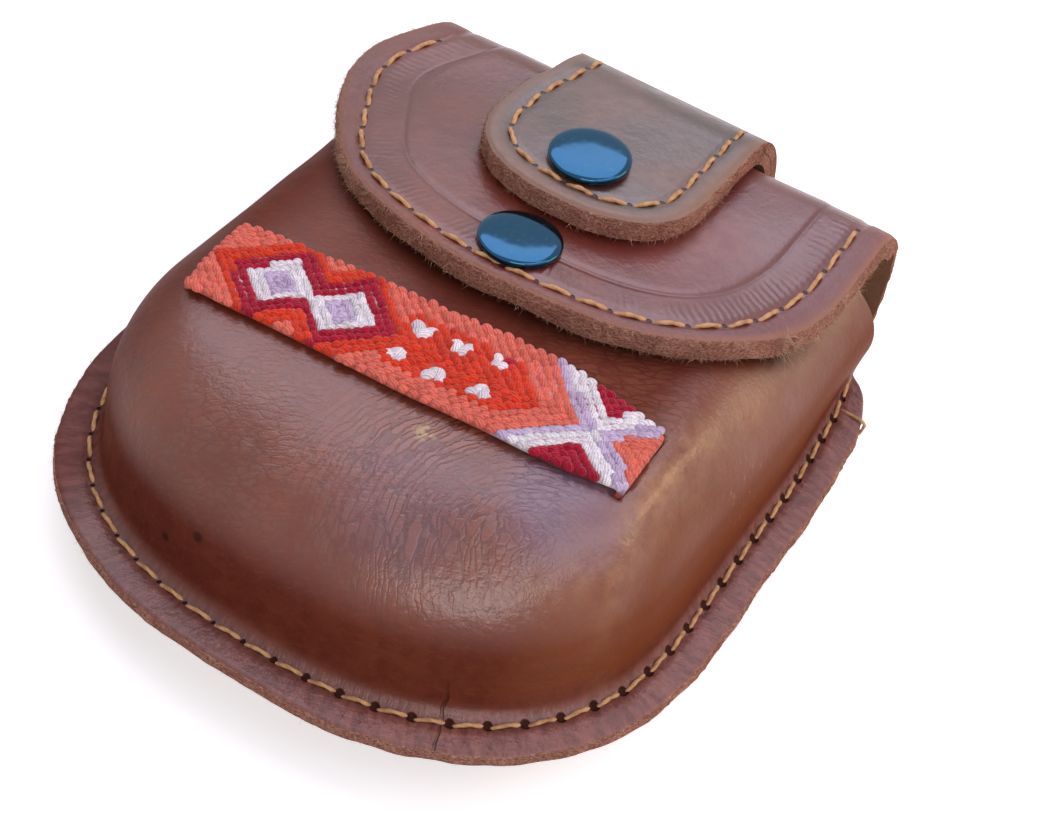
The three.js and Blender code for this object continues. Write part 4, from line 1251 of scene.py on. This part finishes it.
def strap_run():
    """Outer face of the strap behind the pouch in the Y-Z plane, up to its split on the fold.

    Sewn stretch, S-shaped ramp, straight run behind the belt and the ellipse outside the fold.
    """
    sewn_z = -SEAM_GAP - LEATHER
    ramp_start = BELT_RUN_START - STRAP_RAMP
    ramp = np.linspace(0, 1, 60)
    ease = smooth_step(0, 1, ramp)
    sewn = np.stack([np.linspace(ramp_start - STRAP_SEWN, ramp_start, 20), np.full(20, sewn_z)], -1)
    slope = np.stack([ramp_start + STRAP_RAMP * ramp, sewn_z + (-STRAP_DROP - sewn_z) * ease], -1)
    straight = np.stack([np.linspace(BELT_RUN_START, FOLD_Y, 60), np.full(60, -STRAP_DROP)], -1)
    angle = np.linspace(-np.pi / 2, 0, 120)
    reach, drop = FOLD_REACH + SNAP_STACK, FOLD_Z + STRAP_DROP
    lower = np.stack([FOLD_Y + reach * np.cos(angle), FOLD_Z + drop * np.sin(angle)], -1)
    upper = over_fold(hinge_along, 80)
    return np.concatenate([sewn, slope[1:], straight[1:], lower[1:], upper[1:]])


def corner_round(x):
    """How far the strap's left edge is drawn in at the fold: a cube of the distance from the middle."""
    return TAB_CORNER_ROUND * out_share(-x, STRAP_HALF_WIDTH, 3)


def strap_strip(line, inset):
    """Grid of a strip that is inset from a line in the Y-Z plane: rows across the strap, columns along it."""
    way = unit(np.gradient(line, axis=0))
    inner = line + np.stack([-way[:, 1], way[:, 0]], -1) * inset
    to_split = line_length(line)[-1] - line_length(line)
    edge = np.concatenate([edge_steps, [2, 2.7, 3.4, 4.1, 5, 7, 11, STRAP_HALF_WIDTH]])
    across = np.concatenate([edge - STRAP_HALF_WIDTH, (STRAP_HALF_WIDTH - edge)[:-1][::-1]])
    x, y = np.meshgrid(across, inner[:, 0], indexing="ij")
    z = np.broadcast_to(inner[:, 1], x.shape)
    x = x + corner_round(x) * (1 - smooth_step(0, CORNER_FADE, to_split))
    inward = np.broadcast_to((STRAP_HALF_WIDTH - np.abs(across))[:, None], x.shape)
    return np.stack([x, y, z], -1), inward


def strap_sheet(name, line, top, low, materials):
    """A strip of the strap between two distances inside a line, closed all round."""
    grain, inward = strap_strip(line, top)
    flesh, _ = strap_strip(line, low)
    rows, columns, _ = grain.shape
    points = np.concatenate([grain, flesh[::-1], grain[:1]])
    faces = grid_faces(len(points), columns)
    kinds = np.repeat([GRAIN, RIM, FLESH, RIM], [rows - 1, 1, rows - 1, 1])
    face_material = np.repeat(kinds, columns - 1)
    ends = []
    for column in (0, columns - 1):
        high = (np.arange(rows) * columns + column).tolist()
        deep = ((2 * rows - 1 - np.arange(rows)) * columns + column).tolist()
        ends += wall_faces(high, deep)
    values = {
        "seam_along": np.broadcast_to(line_length(line), points.shape[:2]).ravel(),
        "seam_in": np.concatenate([inward, inward[::-1], inward[:1]]).ravel() + FAR_FROM_SEAM,
    }
    face_material = np.concatenate([face_material, np.full(len(ends), RIM)])
    return finish_mesh(name, points, faces.tolist() + ends, materials, face_material, values)


strap_finish = [strap_leather(), leather_side, leather_rim]
strap_low = strap_sheet("strap_run", strap_run(), 0, LEATHER, strap_finish)
strap_low_lining = strap_sheet(
    "strap_run_lining", over_fold(hinge_along + 0.2, 90), LEATHER + SEAM_GAP, TWO_LAYERS, lining_finish
)
for piece in (strap_low, strap_low_lining):
    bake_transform(piece)
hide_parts("strap_back", "strap_fold_outer")
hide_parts("strap_fold_lining")

tab_columns = tongue_columns(side_steps=60, round_steps=130)
tab_steps = np.concatenate([edge_steps, np.arange(1.9, 6.5, 0.55), np.linspace(7, STRAP_HALF_WIDTH, 10)])
tab_shares = 1 - tab_steps / STRAP_HALF_WIDTH
tab_x, tab_at = tongue(
    tab_columns, tab_shares[:, None], strap_split, strap_tip - STRAP_ROUND, straight_half(STRAP_HALF_WIDTH),
    -STRAP_ROUND, STRAP_POWER,
)
tab_x = tab_x + corner_round(tab_x) * (1 - smooth_step(strap_split, fold_end + CORNER_END, tab_at))
tab_flat = on_hide(tab_x, tab_at, np.full_like(tab_x, SNAP_STACK))
tab_in = ring_distance(tab_flat)
tab_along = line_length(line_inside(tab_flat, tab_in, STRAP_SEAM))
tab_worked = sewn_edge(tab_in, STRAP_SEAM, drop=0.45, reach=1.0, depth=0.3, width=0.7)
tab_worked = tab_worked + TAB_DOME * smooth_step(4, 14, tab_in)
tab_free = smooth_step(strap_split, strap_split + 6, tab_at)
tab_grain = on_hide(tab_x, tab_at, SNAP_STACK + tab_worked * tab_free)
tab_flesh = on_hide(tab_x, tab_at, np.full_like(tab_x, SNAP_STACK - LEATHER))
tab = leather_sheet("strap_tab_leather", tab_grain, tab_flesh, strap_finish, tab_along, tab_in)
tab_lining_top = on_hide(tab_x, tab_at, SNAP_STACK - LEATHER - SEAM_GAP + layers_meet(tab_in))
tab_lining_low = on_hide(tab_x, tab_at, np.full_like(tab_x, SNAP_STACK - TWO_LAYERS))
tab_lining = leather_sheet(
    "strap_tab_suede", tab_lining_top, tab_lining_low, lining_finish, tab_along, tab_in, proud=(0.25, 0.1)
)
tab_start = in_frame(FOLD_Y + TAB_BLEND_BEHIND, CROWN_Z)
tab_end = in_frame(FOLD_Y - TAB_BLEND_BEFORE, CROWN_Z)
for piece, node, slot in (
    (tab, "strap_tab_outer", "strap_leather"), (tab_lining, "strap_tab_lining", "suede"),
):
    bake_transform(piece)
    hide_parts(node)

# Sewing thread. Waxed ochre thread in a saddle stitch: short strands from needle hole to needle hole
# along the flange, round the flap and round the tab.

FLANGE_THREAD = 0.31
FLAP_THREAD = 0.36
THREAD_DIVE = 0.75
THREAD_TWIST = 0.14
END_STITCHES = 1.7
END_OUT = 0.5


def waxed_thread():
    """Golden ochre waxed thread with a little dirt between its strands."""
    material, shade = new_material("waxed_thread")
    place = shade.place()
    dirt = shade.noise(place, 1.4, 4).ease(0.4, 0.7)
    tone = dirt.mixed("cc9e70", "a4764e")
    fibre = shade.noise(place, 0.2, 3)
    surface(shade, Base_Color=tone, Roughness=0.6, Normal=shade.bump(fibre * 0.08), Specular=0.35)
    return material


def along_line(values, length, at):
    """Points or directions of a line at distances along it."""
    return np.stack([np.interp(at, length, values[:, i]) for i in range(3)], -1)


def stitches(name, line, outward, pitch, material, radius, start=0.0, lean=0.22, rise=0.32):
    """A row of stitches on a line of points with the way out at each point.

    start is the seam's length before the line, so that the stitches end in the seam's needle holes.
    Each stitch is a tube of two twisted strands on a half sine that dives into its holes at both ends.
    Its radius is r (1 + THREAD_TWIST cos(2 angle - turn)), and it closes to a point below the surface.
    """
    length = line_length(line)
    offset = -start % pitch
    count = int((length[-1] - offset) / pitch)
    first = offset + np.arange(count) * pitch
    t = np.linspace(0, 1, 17)
    around = np.linspace(0, 2 * np.pi, 11)
    at = first[:, None] + pitch * (0.01 + 0.98 * t)
    up = unit(along_line(outward, length, at))
    way = unit(along_line(line, length, at + 0.1) - along_line(line, length, at - 0.1))
    side = np.cross(up, way)
    lift = (THREAD_DIVE + rise) * np.sin(np.pi * t) ** 0.55 - THREAD_DIVE
    middle = along_line(line, length, at) + up * lift[:, None] + side * (lean * (2 * t - 1))[:, None]
    thick = radius * np.clip(np.sin(np.pi * t) * 4, 0, 1) ** 0.5
    twist = THREAD_TWIST * np.cos(2 * around[None, :] - 5.5 * np.pi * t[:, None]) + 1
    ring = (thick[:, None] * twist)[None, :, :, None]
    turn_side = np.cos(around)[None, None, :, None] * side[:, :, None, :]
    turn_up = np.sin(around)[None, None, :, None] * up[:, :, None, :] * 0.85
    points = middle[:, :, None, :] + ring * (turn_side + turn_up)
    return finish_mesh(name, points, repeated_faces(count, len(t), len(around)), [material])


def way_out(points, distance, inset):
    """Unit normals of a grid on the line that keeps inset from its edge."""
    normal = np.cross(np.gradient(points, axis=1), np.gradient(points, axis=0))
    picked = line_inside(unit(normal), distance, inset)
    return picked * np.sign(picked[:, 2].sum())


thread = waxed_thread()
flange_line = line_inside(front_grain, front_in, FLANGE_SEAM)
flange_up = np.broadcast_to([0.0, 0.0, 1.0], flange_line.shape)
flange_stitches = stitches("flange_stitches", flange_line, flange_up, STITCH_PITCH, thread, FLANGE_THREAD)
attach(flange_stitches, "pouch")

end_column = int(np.abs(flange_along - flange_along[-1] + END_STITCHES * STITCH_PITCH).argmin())
end_out = np.array([1.0, 0.2, 0.0])
end_edge = front_grain[0, end_column]
end_low = front_flesh[0, end_column] - [0, 0, LEATHER]
end_line = np.stack([
    flange_line[end_column], end_edge + [0, 0, 0.2],
    end_edge + end_out * END_OUT, end_low + end_out * END_OUT,
])
end_up = np.stack([[0.0, 0.0, 1.0], [0.4, 0.0, 0.9], end_out, end_out])
end_pitch = line_length(end_line)[-1] * 0.999
thread_end = stitches("thread_end", end_line, end_up, end_pitch, thread, FLANGE_THREAD, lean=0.5)
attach(thread_end, "pouch")

sewn = flap_at[0] > fold_end - 3
flap_line = line_inside(flap_grain, flap_in, FLAP_SEAM)[sewn]
flap_up = way_out(flap_grain, flap_in, FLAP_SEAM)[sewn]
flap_stitches = stitches(
    "flap_stitches", flap_line, flap_up, FLAP_PITCH, thread, FLAP_THREAD, flap_along[sewn][0]
)
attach(flap_stitches, "flap")

tab_line = line_inside(tab_grain, tab_in, STRAP_SEAM)
tab_up = way_out(tab_grain, tab_in, STRAP_SEAM)
tab_stitches = stitches("tab_stitches", tab_line, tab_up, STRAP_PITCH, thread, FLAP_THREAD)
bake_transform(tab_stitches)

# Loose fibres. The cut edges of the flap, the tab and the flange are raw, and short fibres of the leather
# stand out of them.

FIBRE_STEPS = 4
FIBRE_RADIUS = 0.04
TORN_PLACE = (38.6, 80)
TORN_REACH = 1.6


def fibre_leather():
    """Pale dry leather fibre."""
    material, shade = new_material("fibre_leather")
    tint = shade.noise(shade.place(), 3, 2)
    tone = tint.ease(0.35, 0.65).mixed("9a7560", "d0ad92")
    surface(shade, Base_Color=tone, Roughness=0.95, Specular=0.1)
    return material


def edge_fibres(name, upper, lower, inner, count, longest, seed, material):
    """Three-sided spikes on the wall between two edges, pointing away from the line inner.

    Each follows root + L t out + L t^2 bend, with a radius that falls to a point at t = 1.
    """
    rng = np.random.default_rng(seed)
    at = rng.uniform(0, len(upper) - 1.001, count)
    index, share = at.astype(int), (at % 1)[:, None]
    high, deep, inside = (
        line[index] * (1 - share) + line[index + 1] * share for line in (upper, lower, inner)
    )
    depth = rng.beta(0.6, 0.6, count)[:, None]
    root = high * (1 - depth) + deep * depth
    out = unit(high - inside)
    wild = rng.normal(0, 0.8, (2, count, 3))
    heading = unit(out + wild[0])
    length = (longest * (0.25 + rng.beta(1.0, 5, count)))[:, None, None]
    t = np.linspace(0, 1, FIBRE_STEPS)[None, :, None]
    path = (root + out * 0.1)[:, None] + length * (t * heading[:, None] + t ** 2 * wild[1][:, None])
    side = unit(np.cross(heading, [0.3, 0.5, 0.8]))
    rise = np.cross(heading, side)
    around = np.linspace(0, 2 * np.pi, 4)
    ring = np.cos(around)[None, :, None] * side[:, None] + np.sin(around)[None, :, None] * rise[:, None]
    radius = FIBRE_RADIUS * rng.uniform(0.5, 1, count)[:, None] * (1 - t[0, :, 0] ** 2)[None]
    points = path[:, :, None] + radius[:, :, None, None] * ring[:, None]
    return finish_mesh(name, points, repeated_faces(count, FIBRE_STEPS, len(around)), [material])


fibre = fibre_leather()
raw = flap_at[0] > fold_end - 2
torn = np.linalg.norm(flap_grain[0, :, :2] - TORN_PLACE, axis=-1) < TORN_REACH
free = tab_at[0] > fold_end + 6
whole = slice(None)
fibre_rows = [
    ("flap_edge_fibres", flap_grain, lining_low, raw, 5200, 1.1, 41, "flap", "flap_leather"),
    ("flap_edge_tuft", flap_grain, lining_low, torn, 70, 4.5, 44, "flap", "flap_leather"),
    ("tab_edge_fibres", tab_grain, tab_lining_low, free, 2000, 1.0, 42, "strap_tab", "strap_leather"),
    ("flange_edge_fibres", front_grain, front_flesh, whole, 2200, 0.7, 43, "pouch", "leather"),
]
for name, upper, lower, part, count, longest, seed, body, slot in fibre_rows:
    edges = upper[0, part], lower[0, part], upper[INNER_ROW, part]
    piece = edge_fibres(name, *edges, count, longest, seed, fibre)
    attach(piece, body)

# Press snaps. Each has a black enamelled cap with a low dome, a sprung socket behind it, and a dark
# plated stud on a post that is set through the leather below.

POST_RADIUS = 1.4
CAP_HEIGHT = 1.6
CAP_RIM = 0.7
CAP_POWER = 3.3
CAP_TILT = 0.045
SOCKET_RADIUS = 5
SOCKET_HEIGHT = 1.9
SOCKET_PLATE = 0.5
SOCKET_BORE = 3
STUD_RADIUS = 4.2
STUD_BASE = 0.5
NUB_RADIUS = 2.3
NUB_HEIGHT = 1.2
HOLE_GAP = 0.3


def black_enamel():
    """Gloss black lacquer on metal, tinted blue as a painted sky reflection, with faint dust."""
    material, shade = new_material("black_enamel")
    place = shade.place()
    dust = shade.noise(place, 0.7, 4, 0.6).ease(0.55, 0.8)
    # The blue of the base colour is a painted reflection of a blue sky.
    tone = (dust * 0.15).mixed((0.020, 0.071, 0.134, 1), "6c7680")
    surface(shade, Base_Color=tone, Metallic=1.0, Roughness=0.10 + dust * 0.12,
            Normal=shade.bump(shade.noise(place, 5, 2) * 0.05))
    return material


def plated_metal():
    """Dark plated brass, rubbed a little brighter in patches."""
    material, shade = new_material("plated_metal")
    place = shade.place()
    rub = shade.noise(place, 1.6, 4).ease(0.4, 0.7)
    tone = rub.mixed("3c3a38", "77726a")
    surface(shade, Base_Color=tone, Metallic=1.0, Roughness=0.28 + rub * 0.15)
    return material


def revolved(name, profile, seat, out, material, steps=72):
    """A profile of (radius, height) pairs turned about the axis out, which starts at the point seat."""
    profile = np.array(profile, float)
    around = np.linspace(0, 2 * np.pi, steps + 1)
    out = unit(out)
    first = np.array([1.0, 0, 0])
    second = np.cross(out, first)
    circle = np.cos(around)[:, None] * first + np.sin(around)[:, None] * second
    points = seat + profile[:, 0, None, None] * circle + profile[:, 1, None, None] * out
    return finish_mesh(name, points, grid_faces(len(profile), steps + 1), [material])


def cap_profile():
    """Post, flat underside, rolled rim and a dome whose section is a superellipse."""
    radius = CAP_DIAMETER / 2
    reach = LEATHER + 2 * SEAM_GAP + SOCKET_PLATE
    angle = np.linspace(0, np.pi / 2, 22)
    dome = np.stack([
        radius * np.cos(angle) ** (2 / CAP_POWER),
        CAP_RIM + (CAP_HEIGHT - CAP_RIM) * np.sin(angle) ** (2 / CAP_POWER),
    ], -1)
    under = [(0, -reach), (POST_RADIUS, -reach), (POST_RADIUS, 0), (radius - 0.5, 0), (radius - 0.1, 0.15)]
    return under + [(radius, 0.35)] + dome[:-1].tolist() + [(0, CAP_HEIGHT)]


def socket_profile():
    """A ring with rolled edges whose plate is holed for the post and whose bore takes the stud."""
    post = POST_RADIUS + HOLE_GAP
    deep = -SOCKET_HEIGHT
    return [
        (post, 0), (post, -SOCKET_PLATE), (SOCKET_BORE, -SOCKET_PLATE), (SOCKET_BORE, deep + 0.3),
        (SOCKET_BORE + 0.2, deep), (SOCKET_RADIUS - 0.5, deep), (SOCKET_RADIUS - 0.1, deep + 0.2),
        (SOCKET_RADIUS, deep + 0.6), (SOCKET_RADIUS, -0.4), (SOCKET_RADIUS - 0.3, 0), (post, 0),
    ]


def stud_profile():
    """A flat base, a waisted neck and a rounded nub, hollow below for the post."""
    bore = POST_RADIUS + HOLE_GAP / 2
    top = STUD_BASE + NUB_HEIGHT
    return [
        (0, STUD_BASE), (bore, STUD_BASE), (bore, 0), (STUD_RADIUS, 0), (STUD_RADIUS, 0.25),
        (STUD_RADIUS - 0.3, STUD_BASE), (NUB_RADIUS - 0.15, STUD_BASE), (NUB_RADIUS - 0.15, STUD_BASE + 0.2),
        (NUB_RADIUS, STUD_BASE + 0.6), (NUB_RADIUS - 0.15, top - 0.3), (NUB_RADIUS - 0.5, top), (0, top),
    ]


def post_profile(layers):
    """A flange on the flesh side and a post that goes up through the leather."""
    reach = layers + 2 * SEAM_GAP + STUD_BASE / 2
    return [
        (0, -STUD_BASE), (STUD_RADIUS - 0.4, -STUD_BASE), (STUD_RADIUS, -0.2), (STUD_RADIUS, 0),
        (POST_RADIUS, 0), (POST_RADIUS, reach), (0, reach),
    ]


def hide_seat(along, outside, tilt=0.0):
    """Point over the middle of the hide and the way out there, leaning towards the flap's tip by a tilt."""
    low, high = on_hide(np.zeros(2), np.full(2, along), np.array([outside, outside + 1.0]))
    return low, high - low - [0, tilt, 0]


def front_seat(y, outside):
    """Point over the middle of the front and the way out there."""
    point, normal = front_frame(np.zeros(1), np.array([y]))
    point[0, 2] = front_height(np.zeros(1), np.array([y]), 0)[0]
    return point[0] + normal[0] * outside, normal[0]


enamel, plated = black_enamel(), plated_metal()
snap_pieces = [
    ("flap_cap", cap_profile(), hide_seat(flap_snap_along, SEAM_GAP), enamel, "flap", "flap_snap_cap"),
    ("flap_socket", socket_profile(), hide_seat(flap_snap_along, -LEATHER - SEAM_GAP), plated, "flap",
     "flap_snap_socket"),
    ("front_stud", stud_profile(), front_seat(SNAP_Y, SEAM_GAP), plated, "pouch", "flap_snap_stud"),
    ("front_stud_post", post_profile(LEATHER), front_seat(SNAP_Y, -LEATHER - SEAM_GAP), plated, "pouch",
     "flap_snap_stud_post"),
    ("tab_cap", cap_profile(), hide_seat(strap_snap_along, SNAP_STACK + SEAM_GAP + TAB_DOME, CAP_TILT),
     enamel, "strap_tab", "strap_snap_cap"),
    ("tab_socket", socket_profile(), hide_seat(strap_snap_along, SNAP_STACK - LEATHER - SEAM_GAP), plated,
     "strap_tab", "strap_snap_socket"),
    ("flap_stud", stud_profile(), hide_seat(strap_snap_along, SEAM_GAP + PILLOW), plated, "flap",
     "strap_snap_stud"),
    ("flap_stud_post", post_profile(TWO_LAYERS), hide_seat(strap_snap_along, -TWO_LAYERS - SEAM_GAP), plated,
     "flap", "strap_snap_stud_post"),
]
for name, profile, (seat, out), material, body, node in snap_pieces:
    piece = revolved(name, profile, seat, out, material)
    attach(piece, body)
    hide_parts(node)

# Studio. The purse lies on its strap on a plain pale floor under four soft lamps in a pale room. The
# camera stands at the photograph's place, above and to the right of the round bottom.

CAMERA_PLACE = (0.09907, -0.20104, 0.23507)
CAMERA_HEADING = (24.24, 45.25)
CAMERA_ROLL = np.radians(10.71)
FOCAL_PIXELS = 2134.6
IMAGE_WIDTH = 1039
SENSOR_WIDTH = 36
FLOOR_SIZE = 4.0
FLOOR_DROP = 0.0003


def background_ray(shade):
    """1 for rays that see the background: camera, glossy and transmission rays."""
    camera, glossy, through = (
        shade.node("ShaderNodeLightPath", output=f"Is {kind} Ray")
        for kind in ("Camera", "Glossy", "Transmission")
    )
    return camera.largest(glossy).largest(through)


def floor_material():
    """Pale matt floor that the camera sees lifted nearly to white, with the shadow kept."""
    material, shade = new_material("pale_floor")
    matt = shade.node("ShaderNodeBsdfDiffuse", None, {"Color": (0.86, 0.86, 0.86, 1)})
    glow = shade.node("ShaderNodeEmission", None, {"Color": (1, 1, 1, 1), "Strength": 0.5})
    lifted = shade.node("ShaderNodeAddShader", None, {0: matt, 1: glow})
    mixed = shade.node("ShaderNodeMixShader", None, {0: background_ray(shade), 1: matt, 2: lifted})
    shade.node("ShaderNodeOutputMaterial", None, {"Surface": mixed})
    return material


def place_object(name, data, axes, place):
    """Links an object whose X, Y and Z axes and place are given as vectors."""
    holder = bpy.data.objects.new(name, data)
    columns = np.stack([*axes, place], -1)
    holder.matrix_world = Matrix(np.vstack([columns, [0, 0, 0, 1]]).tolist())
    bpy.context.scene.collection.objects.link(holder)
    return holder


floor_half, floor_z = FLOOR_SIZE / 2, cad_bounds[0].z - FLOOR_DROP
floor_corners = [(x * floor_half, y * floor_half, floor_z) for x, y in ((-1, -1), (1, -1), (1, 1), (-1, 1))]
floor_mesh = bpy.data.meshes.new("floor")
floor_mesh.from_pydata(floor_corners, [], [(0, 1, 2, 3)])
floor_mesh.materials.append(floor_material())
place_object("floor", floor_mesh, np.eye(3), np.zeros(3))

world = bpy.data.worlds.new("room")
world.use_nodes = True
world.node_tree.nodes.clear()
room = Shade(world.node_tree)
room_light = room.node("ShaderNodeBackground", None, {"Color": (1.0, 0.97, 0.93, 1), "Strength": 0.15})
room_white = room.node("ShaderNodeBackground", None, {"Color": (1, 1, 1, 1), "Strength": 1.0})
room_mix = room.node("ShaderNodeMixShader", None, {0: background_ray(room), 1: room_light, 2: room_white})
room.node("ShaderNodeOutputWorld", None, {"Surface": room_mix})
bpy.context.scene.world = world


def facing(azimuth, elevation):
    """Right, up and back of a lamp or camera that faces the purse from a heading and a height in degrees."""
    turn, lift = np.radians(azimuth), np.radians(elevation)
    back = np.array([np.sin(turn) * np.cos(lift), -np.cos(turn) * np.cos(lift), np.sin(lift)])
    right = np.array([np.cos(turn), np.sin(turn), 0])
    return right, np.cross(back, right), back


def soft_lamp(name, azimuth, elevation, distance, size, power, colour):
    """A rectangular area lamp that faces the purse."""
    lamp = bpy.data.lights.new(name, "AREA")
    lamp.shape = "RECTANGLE"
    lamp.size, lamp.size_y = size
    lamp.energy = power
    lamp.color = colour
    axes = facing(azimuth, elevation)
    place_object(name, lamp, axes, axes[2] * distance)


soft_lamp("sky_lamp", 217, 57.5, 1.0, (1.0, 0.7), 5.9, (0.86, 0.83, 1.0))
soft_lamp("top_lamp", 95, 57, 1.0, (0.95, 0.46), 3.2, (0.80, 0.78, 1.0))
soft_lamp("front_lamp", 31, 38, 0.9, (0.46, 0.3), 2.9, (1.0, 0.95, 0.95))
soft_lamp("side_lamp", 126, 26, 0.9, (0.5, 0.2), 2.0, (1.0, 0.77, 0.46))

camera_data = bpy.data.cameras.new("camera")
camera_data.sensor_width = SENSOR_WIDTH
camera_data.lens = FOCAL_PIXELS * SENSOR_WIDTH / IMAGE_WIDTH
camera_data.clip_start = 0.01
right, up, back_way = facing(*CAMERA_HEADING)
rolled_right = np.cos(CAMERA_ROLL) * right + np.sin(CAMERA_ROLL) * up
rolled_up = np.cos(CAMERA_ROLL) * up - np.sin(CAMERA_ROLL) * right
camera = place_object("camera", camera_data, (rolled_right, rolled_up, back_way), CAMERA_PLACE)
bpy.context.scene.camera = camera
bpy.context.scene.view_settings.view_transform = "Standard"
